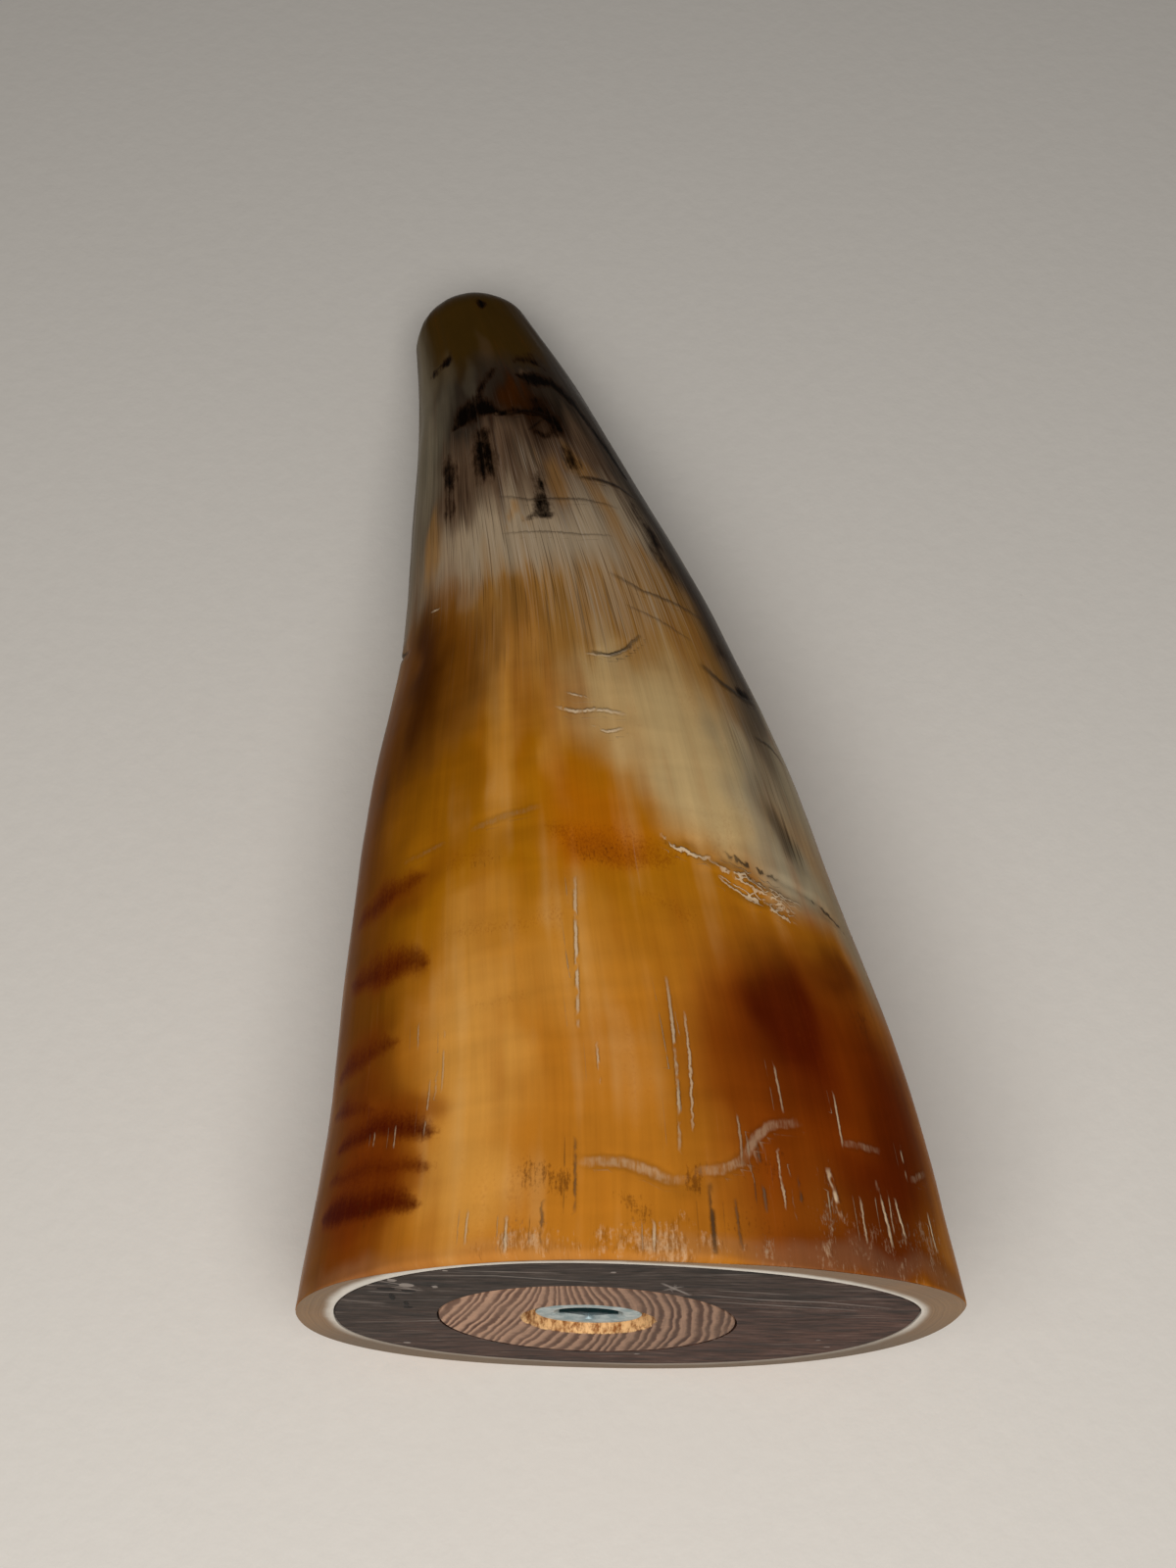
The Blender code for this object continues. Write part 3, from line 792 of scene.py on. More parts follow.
def relief_of(along, side, mm_per_degree, depth):
    """How far each place on the horn stands proud."""
    relief = 0.14 * round_noise(side, along, 18, 16, 11) + 0.05 * round_noise(side, along, 6, 7, 12)
    relief = relief + 0.05 * round_noise(side, along, 5, 60, 13)
    wandering = along + 1.6 * round_noise(side, along, 3, 3, 15)
    for fold in FOLDS:
        away, share = nearest_on(fold.places, wandering, side, mm_per_degree)
        taper = np.clip(np.sin(pi * share), 0.0, 1.0) ** 0.6
        relief = relief + fold.height * taper * np.exp(-((away / fold.width) ** 2))
    chipped = np.maximum(round_noise(side, along, 2.2, 3.0, 14), 0.0)
    relief = relief - 0.18 * chipped * (1.0 - smooth_step(along, 0.5, 3.0))
    fade = smooth_step(HORN_LENGTH / MM - along, 0.0, 8.0)
    rounding = edge_round(side)
    short_of = np.clip(rounding - along * MM, 0.0, rounding)
    return (relief * fade * MM - SKIN_DEPTH) * depth - (rounding - np.sqrt(rounding**2 - short_of**2))


def skin_masks(along, side, mm_per_degree):
    """The masks that the horn's finish reads, for each place on the skin."""
    drifted = along + 1.4 * round_noise(side, along, 7, 6, 21)
    swung = side + 2.0 * round_noise(side, along, 8, 6, 22)
    wavering = along + 0.7 * round_noise(side, along, 5, 5, 23)
    strokes = {
        kind: stroked(made, wavering, side, mm_per_degree)
        for kind, made in (("black", BLACK_STROKES), ("bands", BANDS), ("grains", GRAINS))
    }
    fibrous = smooth_step(along, 96, 140) * (1.0 - smooth_step(along, 180, 204))
    left_flank = 1.0 - smooth_step(side, -44, -28)
    fibrous = fibrous * (1.0 - 0.9 * left_flank * (1.0 - smooth_step(along, 128, 144)))
    right_flank = smooth_step(side, 36, 48) * smooth_step(along, 64, 84)
    return {
        "pale_fibres": mask_of(PALE_FIBRES, drifted, swung),
        "dark_threads": mask_of(DARK_THREADS, drifted, swung),
        "black_marks": together((mask_of(BLACK_MARKS, drifted, swung), strokes["black"])),
        "mottled": mask_of(MOTTLED, drifted, swung),
        "worn": mask_of(WORN, drifted, swung),
        "fibrous": np.maximum(fibrous, 0.8 * right_flank),
        "lively": 1.0 - 0.6 * smooth_step(along, 194, 210),
        "golden": 1.0 - smooth_step(along, 112, 142),
        "bands": strokes["bands"],
        "grains": strokes["grains"],
    }


# ---- meshes ------------------------------------------------------------------------------------------
def grid_faces(rows, columns, close_rows=False):
    """Four-sided faces over a grid of points that closes on itself round its columns."""
    row = np.arange(rows if close_rows else rows - 1)[:, None]
    column = np.arange(columns)[None, :]
    next_row, next_column = (row + 1) % rows, (column + 1) % columns
    corners = (
        row * columns + column,
        row * columns + next_column,
        next_row * columns + next_column,
        next_row * columns + column,
    )
    return np.stack(np.broadcast_arrays(*corners), axis=-1).reshape(-1, 4)


def fan_faces(first, columns, pole, outward=True):
    """Three-sided faces from a ring of points to one point."""
    ring = first + np.arange(columns)
    following = first + (np.arange(columns) + 1) % columns
    corners = (ring, following) if outward else (following, ring)
    return np.stack([*corners, np.full(columns, pole)], axis=-1)


def capped_grid(grid, first_pole, last_pole):
    """Points and groups of faces for a run of rings that is closed at each end by a point."""
    rows, columns = grid.shape[:2]
    count = rows * columns
    points = np.concatenate([grid.reshape(-1, 3), first_pole, last_pole])
    faces = [
        grid_faces(rows, columns)[:, ::-1],
        fan_faces(0, columns, count),
        fan_faces(count - columns, columns, count + 1, outward=False),
    ]
    return points, faces


def over_horn(values, total, rest=0.0):
    """Values on the skin, laid out from the tip down for all of the horn's points."""
    flat = values[::-1].reshape(-1, *values.shape[2:])
    laid = np.concatenate([flat, np.full((total - len(flat), *values.shape[2:]), rest)])
    laid[-2] = laid[0]  # the tip's own point is like the ring next to it
    return laid


def mesh_object(name, points, faces, attributes=None, sharp=radians(40)):
    """An object from points, groups of faces and named values for each point."""
    mesh = bpy.data.meshes.new(name)
    mesh.from_pydata(points.tolist(), [], [face for group in faces for face in group.tolist()])
    for label, values in (attributes or {}).items():
        kind, slot = ("FLOAT", "value") if values.ndim == 1 else ("FLOAT_VECTOR", "vector")
        layer = mesh.attributes.new(label, kind, "POINT")
        layer.data.foreach_set(slot, values.astype(np.float32).ravel())
    mesh.shade_smooth()
    mesh.set_sharp_from_angle(angle=sharp)
    mesh.update()
    made = bpy.data.objects.new(name, mesh)
    bpy.context.scene.collection.objects.link(made)
    return made


def ring_of(columns):
    """The angles of one ring of points, anticlockwise from the right."""
    return np.arange(columns) * 2 * pi / columns


def circle_row(angle, x, y, z, radius):
    """A ring of points parallel to the sawn face."""
    return np.stack([x + radius * np.cos(angle), y + 0 * angle, z + radius * np.sin(angle)], axis=-1)


def hand_over(piece, node, slot, *materials):
    """Give a piece its materials and its place in the frame."""
    for material in materials:
        piece.data.materials.append(material)
    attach(piece, "root")
    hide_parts(node)


# ---- finishes ----------------------------------------------------------------------------------------
class Value:
    """A number, colour or vector that a node gives. Numbers can be reckoned with in the usual way."""

    def __init__(self, finish, socket):
        self.finish = finish
        self.socket = socket

    def also(self, index):
        """Another output of the same node."""
        return Value(self.finish, self.socket.node.outputs[index])

    def _maths(self, operation, first, second):
        return self.finish.node("ShaderNodeMath", {"operation": operation}, {0: first, 1: second})

    def __add__(self, other):
        return self._maths("ADD", self, other)

    __radd__ = __add__

    def __sub__(self, other):
        return self._maths("SUBTRACT", self, other)

    def __rsub__(self, other):
        return self._maths("SUBTRACT", other, self)

    def __mul__(self, other):
        return self._maths("MULTIPLY", self, other)

    __rmul__ = __mul__

    def __truediv__(self, other):
        return self._maths("DIVIDE", self, other)

    def __abs__(self):
        return self._maths("ABSOLUTE", self, 0.0)

    def fraction(self):
        return self._maths("FRACT", self, 0.0)


class Finish:
    """A material, and the ways its nodes are made."""

    def __init__(self, name):
        self.material = bpy.data.materials.new(name)
        self.material.use_nodes = True
        self.tree = self.material.node_tree
        self.tree.nodes.clear()

    def node(self, kind, settings=None, sockets=None, output=0):
        """One node. Its settings are set first, then each socket gets its value or its link."""
        made = self.tree.nodes.new(kind)
        for label, value in (settings or {}).items():
            setattr(made, label, value)
        for label, value in (sockets or {}).items():
            socket = made.inputs[label]
            if isinstance(value, Value):
                self.tree.links.new(value.socket, socket)
            elif socket.type == "RGBA":
                socket.default_value = (*value, 1.0)
            else:
                socket.default_value = value
        return Value(self, made.outputs[output]) if made.outputs else None

    def attribute(self, name, output=2):
        """A value kept at each point of the mesh: output 2 for a number, 1 for a vector."""
        return self.node("ShaderNodeAttribute", {"attribute_name": name}, output=output)

    def place(self):
        """Where on the object this is, in metres."""
        return self.node("ShaderNodeTexCoord", output=3)

    def stretch(self, vector, amounts):
        """A vector with each of its numbers multiplied."""
        return self.node("ShaderNodeVectorMath", {"operation": "MULTIPLY"}, {0: vector, 1: amounts})

    def noise(self, vector, amounts, detail=2.0, roughness=0.5, distortion=0.0):
        """Noise from 0 to 1, with so many cells to a metre each way."""
        sockets = {
            "Vector": self.stretch(vector, amounts),
            "Scale": 1.0,
            "Detail": detail,
            "Roughness": roughness,
            "Distortion": distortion,
        }
        return self.node("ShaderNodeTexNoise", None, sockets)

    def step(self, value, low, high):
        """0 below low, 1 above high, and a smooth rise between."""
        sockets = {"Value": value, "From Min": low, "From Max": high}
        return self.node("ShaderNodeMapRange", {"interpolation_type": "SMOOTHSTEP"}, sockets)

    def mix(self, factor, first, second):
        """A colour between two others."""
        return self.node("ShaderNodeMix", {"data_type": "RGBA"}, {0: factor, 6: first, 7: second}, output=2)

    def shaded(self, colour, amount):
        """A colour made lighter or darker by a number, where 1 leaves it alone."""
        sockets = {0: colour, "Scale": amount}
        return self.node("ShaderNodeVectorMath", {"operation": "SCALE"}, sockets)

    def separate(self, vector):
        """A vector's first number. The others are its outputs 1 and 2."""
        return self.node("ShaderNodeSeparateXYZ", None, {0: vector})

    def combine(self, x, y=0.0, z=0.0):
        """A vector from its three numbers."""
        return self.node("ShaderNodeCombineXYZ", None, {0: x, 1: y, 2: z})

    def bump(self, height, distance):
        """A normal that follows a height."""
        sockets = {"Height": height, "Distance": distance, "Strength": 1.0}
        return self.node("ShaderNodeBump", None, sockets)

    def surface(self, sockets):
        """The finished material."""
        shader = self.node("ShaderNodeBsdfPrincipled", None, sockets)
        self.node("ShaderNodeOutputMaterial", None, {"Surface": shader})
        return self.material


def deep_wash(finish, grain, mask, tint):
    """The wash, lighter and darker by fibre, ripple and cloud, with patches of cream and orange."""
    wash = finish.attribute("wash", 1)
    fibrous = mask.fibrous
    light = (grain.strand - 0.5) * (0.42 * fibrous + 0.26) + (grain.lock - 0.5) * (0.45 * fibrous + 0.34)
    light = light + (grain.hair - 0.5) * (0.35 * fibrous + 0.16)
    light = light + (grain.ripple - 0.5) * 0.30 * (1.0 - fibrous)
    light = 1.0 + light * mask.lively + (grain.cloud - 0.5) * 0.40 + (grain.speck - 0.5) * 0.06
    patchy = grain.lock * 0.55 + grain.cloud * 0.45
    glow = finish.separate(wash).also(1)
    golden = mask.golden * finish.step(glow, 0.07, 0.17)
    wash = finish.mix(finish.step(patchy, 0.50, 0.72) * golden * 0.30, wash, tint.cream)
    wash = finish.mix((1.0 - finish.step(patchy, 0.30, 0.50)) * golden * 0.28, wash, tint.orange)
    return finish.shaded(wash, light)


def banded(finish, coloured, grain, mask, tint):
    """Maroon bands with fringed edges, and the grainy lower edges of the warm patches."""
    fringe = (grain.strand - 0.5) * 0.45 + (grain.hair - 0.5) * 0.25
    fringe = mask.bands + fringe + (grain.speck - 0.5) * 0.5 + (grain.cloud - 0.5) * 0.6
    coloured = finish.mix(finish.step(fringe, 0.0, 0.7) * 0.5, coloured, tint.rust)
    coloured = finish.mix(finish.step(fringe, 0.15, 1.10) * 0.95, coloured, tint.maroon)
    speckled = mask.grains + (grain.grit - 0.5) * 1.6 + (grain.strand - 0.5) * 0.5
    return finish.mix(finish.step(speckled, 0.25, 1.1) * 0.55, coloured, tint.rust)


def fibred(finish, coloured, grain, mask, tint):
    """White fibres, then dark threads and needles between them."""
    strand, hair, pale = grain.strand - 0.5, grain.hair - 0.5, mask.pale_fibres
    whites = finish.step(pale + (grain.lock - 0.5) * 0.8 + strand * 1.0 + hair * 1.3, 0.35, 1.2)
    coloured = finish.mix(whites * 0.7, coloured, tint.fibre)
    threads = finish.step(mask.dark_threads + strand * 1.6 + hair * 1.6, 0.60, 1.35)
    coloured = finish.mix(threads * 0.7, coloured, tint.thread)
    needles = grain.needle + mask.dark_threads * 0.10 + pale * 0.04 + strand * 0.15
    needles = finish.step(needles, 0.60, 0.74)
    coloured = finish.mix(needles * mask.fibrous * 0.50, coloured, tint.thread)
    bright = 1.0 - finish.step(grain.needle, 0.28, 0.42)
    return finish.mix(bright * mask.fibrous * (0.06 + 0.22 * pale), coloured, tint.fibre_white)


def blackened(finish, coloured, grain, mask, tint):
    """Grainy stains and black marks, and how burnt each place is."""
    grit, clot = grain.grit - 0.5, grain.clot - 0.5
    stains = finish.step(mask.mottled + (grain.scratchy - 0.5) * 1.4 + grit * 1.0 + clot * 1.0, 0.45, 1.05)
    stains = stains * finish.step(mask.mottled, 0.02, 0.25)
    coloured = finish.mix(stains * 0.60, coloured, tint.rust_dark)
    frayed = mask.black_marks + (grain.strand - 0.5) * 0.9 + (grain.hair - 0.5) * 0.4
    frayed = frayed + clot * 1.0 + (grain.speck - 0.5) * 0.4
    frayed = frayed * finish.step(mask.black_marks, 0.02, 0.25)
    coloured = finish.mix(finish.step(frayed, 0.12, 0.70) * 0.7, coloured, tint.soot)
    burnt = finish.step(frayed, 0.42, 1.0)
    return finish.mix(burnt * 0.97, coloured, tint.char), burnt


def scuffed(finish, coloured, grain, mask, tint):
    """Skin worn away near the sawn edge, and how flaked each place is."""
    worn, near_worn = mask.worn, finish.step(mask.worn, 0.02, 0.25)
    dirt = finish.step(worn + (grain.clot - 0.5) * 1.2 + (0.5 - grain.scratchy) * 1.6, 0.55, 1.15)
    coloured = finish.mix(dirt * near_worn * 0.35, coloured, tint.rust_dark)
    rubbed = worn + (grain.clot - 0.5) * 1.6 + (grain.scratchy - 0.5) * 1.5 + (grain.grit - 0.5) * 1.0
    flakes = finish.step(rubbed, 0.58, 1.35) * near_worn
    return finish.mix(flakes * 0.36, coloured, tint.scar), flakes


def cracked(finish, coloured, grain, tint):
    """Cracks, veins and scars, and how deep each place lies in them.

    A group holds each place's distance from its nearest line, that line's strength and its tone.
    """
    depth = 0.0
    for group in LINE_GROUPS:
        distance = finish.separate(finish.attribute(group, 1))
        strength, tone = distance.also(1), distance.also(2)
        whole = finish.step(grain.gap, BREAKS[group], BREAKS[group] + 0.14) * strength
        ragged = abs(distance + (grain.stray - 0.5) * STRAYING[group]) + (grain.speck - 0.5) * 0.25
        ragged = ragged / finish.attribute(group + "_width")
        beside = (1.0 - finish.step(ragged, 0.6, 1.5)) * whole
        coloured = finish.mix(beside * 0.5, coloured, tint.soot)
        on_line = (1.0 - finish.step(ragged, 0.25, 0.8)) * whole
        if group == "scars":
            hatched = finish.step(grain.scratchy * 0.5 + grain.clot * 0.5, 0.36, 0.60)
            on_line = on_line * (0.12 + 0.60 * hatched)
        coloured = finish.mix(on_line * COVER[group], coloured, finish.mix(tone, tint.char, tint.scar))
        depth = on_line + depth
    return coloured, depth


def horn_finish(colours):
    """Polished horn: a soft wash of colour deep inside, fibres along it, and old marks."""
    finish = Finish("polished horn")
    course = finish.attribute("fibre", 1)
    grain = SimpleNamespace()
    for name, (across, along, *quality) in HORN_GRAIN.items():
        setattr(grain, name, finish.noise(course, (across, across, along), *quality))
    mask = SimpleNamespace()
    for name in ("pale_fibres", "dark_threads", "black_marks", "mottled", "worn", "fibrous", "lively",
                 "golden", "bands", "grains"):
        setattr(mask, name, finish.attribute(name))
    tint = SimpleNamespace(**pigments_of(colours))

    coloured = deep_wash(finish, grain, mask, tint)
    coloured = banded(finish, coloured, grain, mask, tint)
    coloured = fibred(finish, coloured, grain, mask, tint)
    coloured, burnt = blackened(finish, coloured, grain, mask, tint)
    coloured, flakes = scuffed(finish, coloured, grain, mask, tint)
    coloured, depth = cracked(finish, coloured, grain, tint)
    rough = 0.16 + 0.10 * (grain.hair - 0.5) + 0.3 * flakes + 0.2 * burnt + 0.08 * grain.cloud
    height = grain.hair * 0.25 + grain.strand * 0.35 + grain.speck * 0.1 * (1.0 + 3.0 * mask.worn)
    height = height * 0.25 - depth * 0.8 - flakes * 0.3
    return finish.surface(
        {
            "Base Color": coloured,
            "Roughness": rough,
            "Normal": finish.bump(height, 0.00012),
            "IOR": 1.035,
        }
    )


def rim_finish(colours):
    """The horn's sawn edge: tan layers outside, white layers inside."""
    finish = Finish("sawn horn")
    from_hollow = finish.attribute("from_hollow")
    place = finish.place()
    dust = finish.noise(place, (1400, 1400, 1400), 2.0, 0.6)
    cloud = finish.noise(place, (140, 140, 140), 3.0, 0.5)
    layered = finish.combine(from_hollow + (cloud - 0.5) * 1.2)
    layer = finish.noise(layered, (2.6, 1.0, 1.0), 3.0, 0.7)
    # painted shade: the rim's lower part, close to the table, is darkened towards a greyer brown and its
    # white layers are dimmed
    underneath = finish.attribute("underneath")
    at_sides = finish.attribute("at_sides")
    white = from_hollow + at_sides * 0.9 + (cloud - 0.5) * 1.6 + (layer - 0.5) * 1.2
    white = 1.0 - finish.step(white, 0.9, 2.9)
    outer = finish.mix(0.22, linear(colours.rim), finish.attribute("wash", 1))
    outer = finish.shaded(outer, 0.55 + 0.9 * layer)
    outer = finish.mix(underneath * 0.6, outer, linear(colours.rim_shade))
    coloured = finish.mix(white * (0.92 - 0.65 * underneath), outer, linear(colours.rim_white))
    coloured = finish.shaded(coloured, 1.0 + (layer - 0.5) * 0.3 + (dust - 0.5) * 0.3)
    return finish.surface(
        {
            "Base Color": coloured,
            "Roughness": 0.5 + 0.2 * (dust - 0.5),
            "Normal": finish.bump(layer * 0.6 + dust * 0.4, 0.00006),
            "IOR": 1.2,
        }
    )


def plug_finish(colours):
    """Dark stained wood with a fine, nearly level grain and a knot."""
    finish = Finish("dark stained wood")
    place = finish.place()
    x = finish.separate(place)
    y, z = x.also(1), x.also(2)
    wave = (finish.noise(place, (22, 8, 30), 2.0, 0.5) - 0.5) * 0.010
    lean = (x + 0.02) * 0.06
    course = finish.combine(x, y, z + wave - lean)
    grain = finish.noise(course, (60, 20, 420), 4.0, 0.7)
    pores = finish.noise(course, (170, 60, 950), 3.0, 0.7)
    bands = finish.noise(course, (10, 6, 150), 2.0, 0.5)
    rubbed = finish.noise(place, (45, 40, 70), 3.0, 0.6)
    reddish = finish.step((0.045 - z) * 12.0 + x * 7.0 + (rubbed - 0.5) * 0.6, -0.35, 0.45)
    coloured = finish.mix(reddish, linear(colours.charcoal), linear(colours.mahogany))
    streaks = finish.step(pores * 0.7 + grain * 0.3, 0.38, 0.60)
    coloured = finish.shaded(coloured, 0.25 + 0.50 * grain + 0.80 * (bands - 0.5) + 1.15 * streaks)
    dust = linear(colours.dust)
    fine = finish.step(pores + (grain - 0.5) * 0.5, 0.60, 0.80)
    coloured = finish.mix(fine * 0.28, coloured, dust)
    # scratches nearly along the grain
    slanting = finish.combine(x, y, z - x * 0.18)
    scratch = finish.noise(slanting, (30, 12, 900), 1.0, 0.4)
    scratched = finish.step(scratch, 0.66, 0.74) * finish.step(rubbed, 0.46, 0.60)
    coloured = finish.mix(scratched * 0.42, coloured, dust)
    line = finish.separate(finish.attribute("scratches", 1))
    ragged = abs(line + (pores - 0.5) * 0.6)
    gouged = (1.0 - finish.step(ragged, 0.12, 0.45)) * line.also(1)
    coloured = finish.mix(gouged * 0.8, coloured, dust)
    flake = finish.step(finish.attribute("pale_flakes") + (pores - 0.5) * 0.5, 0.45, 0.65)
    hole = finish.step(finish.attribute("knot_holes") + (pores - 0.5) * 0.4, 0.45, 0.65)
    coloured = finish.mix(flake * 0.75, coloured, dust)
    coloured = finish.mix(hole * 0.9, coloured, linear(colours.knot_hole))
    return finish.surface(
        {
            "Base Color": coloured,
            "Roughness": 0.42 + 0.25 * (grain - 0.5),
            "Normal": finish.bump(grain * 0.5 + pores * 0.5 - hole + flake * 0.4, 0.00012),
            "IOR": 1.08,
        }
    )


def disc_finish(wood):
    """Striped wood: growth rings cut nearly upright, and fresh orange wood in the sinking."""
    finish = Finish("striped wood")
    place = finish.place()
    x = finish.separate(place)
    x, y, z = x - DISC_X, x.also(1) - BASE_Y, x.also(2) - DISC_Z
    leaning = 1.0 - finish.step(x, -0.013, 0.002)
    wander = (finish.noise(place, (70, 20, 45), 2.0, 0.5) - 0.5) * 0.0028
    ring = x - z * 0.27 * leaning + z * z * 4.5 * (1.0 - leaning) + wander
    phase = ring / wood.ring_spacing
    along_rings = finish.combine(ring)
    uneven = (finish.noise(along_rings, (230, 1, 1), 1.0, 0.5) - 0.5) * 2.2
    turn = (phase + uneven).fraction()
    turn = turn + (finish.noise(place, (420, 300, 260), 3.0, 0.7) - 0.5) * 0.55
    late = finish.step(turn, 0.12, 0.60) * (1.0 - finish.step(turn, 0.80, 1.0))
    on_ring = finish.combine(ring, y, z)
    threads = finish.noise(on_ring, (2200, 60, 110), 3.0, 0.6)
    fleck = finish.noise(place, (900, 900, 900), 2.0, 0.6)
    cloud = finish.noise(place, (90, 60, 90), 2.0, 0.5)
    late = late * (0.75 + 0.9 * (cloud - 0.4))
    coloured = finish.mix(late * 0.9, linear(wood.early_wood), linear(wood.late_wood))
    away_from_left = finish.step(x + (cloud - 0.5) * 0.012, -0.022, 0.020)
    shade = 1.02 - 0.34 * away_from_left + (threads - 0.5) * 0.7
    shade = shade + (cloud - 0.5) * 0.5 + (fleck - 0.5) * 0.3
    coloured = finish.shaded(coloured, shade)
    fresh = finish.attribute("fresh_cut")
    splinter = finish.noise(place, (900, 500, 320), 3.0, 0.7)
    cut = finish.mix(finish.step(splinter, 0.34, 0.62), linear(wood.fresh_dark), linear(wood.fresh))
    coloured = finish.mix(finish.step(fresh + (splinter - 0.5) * 1.1, 0.30, 0.70), coloured, cut)
    return finish.surface(
        {
            "Base Color": coloured,
            "Roughness": 0.55 + 0.15 * (threads - 0.5),
            "Normal": finish.bump(threads * 0.5 - late * 0.25 + fleck * 0.15, 0.00010),
            "IOR": 1.16,
        }
    )


def insert_finish(colours):
    """Zinc plate: dull and bluish, with painted shade darkening the bore."""
    finish = Finish("zinc plate")
    place = finish.place()
    blotch = finish.noise(place, (500, 500, 500), 3.0, 0.6)
    fine = finish.noise(place, (3500, 3500, 3500), 2.0, 0.5)
    # painted shade in the bore: further in, the plate darkens to a dark teal and is made less metallic and
    # smoother
    deep = finish.attribute("bore_shade")
    coloured = finish.mix(finish.step(blotch, 0.35, 0.65), linear(colours.zinc), linear(colours.zinc_dark))
    coloured = finish.mix(deep * 0.95, coloured, linear(colours.zinc_bore_shade))
    return finish.surface(
        {
            "Base Color": coloured,
            "Metallic": 1.0 - 0.25 * deep,
            "Roughness": 0.46 + 0.25 * (blotch - 0.5) - 0.16 * deep,
            "Normal": finish.bump(fine * 0.3 + blotch, 0.00003),
        }
    )


def floor_finish(colours):
    """A pale painted table with a few specks of dust."""
    finish = Finish("pale table")
    place = finish.place()
    paint = finish.noise(place, (260, 260, 260), 3.0, 0.6)
    cloud = finish.noise(place, (5, 5, 5), 2.0, 0.5)
    cells = {"Vector": finish.stretch(place, (22, 22, 22)), "Scale": 1.0}
    dust = finish.node("ShaderNodeTexVoronoi", None, cells)
    speck = 1.0 - finish.step(dust + (finish.noise(place, (900, 900, 900)) - 0.5) * 0.02, 0.008, 0.020)
    coloured = finish.shaded(linear(colours.floor), 1.0 + (paint - 0.5) * 0.05 + (cloud - 0.5) * 0.04)
    coloured = finish.mix(speck * 0.35, coloured, linear(colours.speck))
    return finish.surface(
        {
            "Base Color": coloured,
            "Roughness": 0.62 + 0.1 * (paint - 0.5),
            "Normal": finish.bump(paint, 0.00012),
        }
    )


# ---- settings ----------------------------------------------------------------------------------------
def pigments_of(colours):
    """Every colour of the horn by its name, as light is reckoned with."""
    return {name: linear(getattr(colours, name)) for name in HornColours.__annotations__}


def colour(name, description, shown):
    """A colour setting, with its default as the colour looks."""
    return bpy.props.FloatVectorProperty(
        name=name, description=description, subtype="COLOR_GAMMA", size=3, min=0.0, max=1.0, default=shown
    )


class HornColours(bpy.types.PropertyGroup):
    amber: colour("Amber", "The horn's warm middle", (0.73, 0.46, 0.13))
    gold: colour("Gold", "The brightest, most see-through part", (0.84, 0.60, 0.27))
    honey: colour("Honey", "The deeper yellow further along", (0.68, 0.43, 0.05))
    orange: colour("Orange", "The rusty blotch above the middle", (0.70, 0.37, 0.02))
    straw: colour("Straw", "The dull yellow before the fibres", (0.64, 0.46, 0.22))
    dusty: colour("Dust", "The dull skin just above the sawn edge", (0.70, 0.60, 0.48))
    cream: colour("Cream", "The pale wedge on the right", (0.78, 0.67, 0.47))
    ash: colour("Ash", "The greenish grey at the wedge's edge", (0.66, 0.61, 0.50))
    fibre_white: colour("Fibre, white", "The whitest threads among the fibres", (0.82, 0.78, 0.73))
    fibre: colour("Fibre", "The pinkish white fibres", (0.68, 0.60, 0.49))
    taupe: colour("Taupe", "The grey brown between the fibres", (0.42, 0.33, 0.25))
    thread: colour("Thread", "The dark threads between the fibres", (0.16, 0.10, 0.06))
    brown: colour("Brown", "The left flank", (0.47, 0.265, 0.02))
    umber: colour("Umber", "The darkest part of the left flank", (0.29, 0.14, 0.0))
    rust_dark: colour("Rust, dark", "Stains in the scuffed skin", (0.30, 0.14, 0.04))
    rust: colour("Rust", "The edge of the red patch", (0.47, 0.20, 0.02))
    maroon: colour("Maroon", "The middle of the red patch and the bands", (0.29, 0.06, 0.01))
    olive: colour("Olive", "The tip", (0.27, 0.19, 0.055))
    slate: colour("Slate", "The right flank and the upper end", (0.22, 0.18, 0.14))
    char: colour("Char", "The black marks", (0.035, 0.02, 0.01))
    soot: colour("Soot", "The brown round the black marks", (0.17, 0.09, 0.03))
    scar: colour("Scar", "Cracks and scars in the skin", (0.90, 0.80, 0.66))
    rim: colour("Rim", "The outer layers of the sawn edge", (0.50, 0.43, 0.34))
    # the colour of the painted shade along the rim's lower part, close to the table
    rim_shade: colour("Rim, dull", "The sawn edge underneath", (0.38, 0.35, 0.31))
    rim_white: colour("Rim white", "The inner layers of the sawn edge", (0.88, 0.86, 0.82))


class HornSizes(bpy.types.PropertyGroup):
    relief: bpy.props.FloatProperty(
        name="Relief", description="How strongly the surface is folded and dented",
        default=1.0, min=0.0, max=2.0,
    )


class WoodSettings(bpy.types.PropertyGroup):
    charcoal: colour("Charcoal", "The plug's darkest stain", (0.20, 0.165, 0.145))
    mahogany: colour("Mahogany", "The plug's reddish stain", (0.28, 0.195, 0.165))
    dust: colour("Dust", "Scratches and flakes on the plug", (0.62, 0.58, 0.55))
    knot_hole: colour("Knot hole", "The depth of the plug's knot", (0.05, 0.039, 0.039))
    early_wood: colour("Early wood", "The disc's light rings", (0.72, 0.57, 0.47))
    late_wood: colour("Late wood", "The disc's dark rings", (0.27, 0.14, 0.09))
    fresh: colour("Fresh wood", "New wood cut by the sinking", (0.92, 0.74, 0.52))
    fresh_dark: colour("Fresh wood, dark", "The darker streaks of the new wood", (0.55, 0.34, 0.17))
    ring_spacing: bpy.props.FloatProperty(
        name="Ring spacing", description="The width of one growth ring", default=1.65 * MM,
        min=0.5 * MM, max=5 * MM, unit="LENGTH",
    )


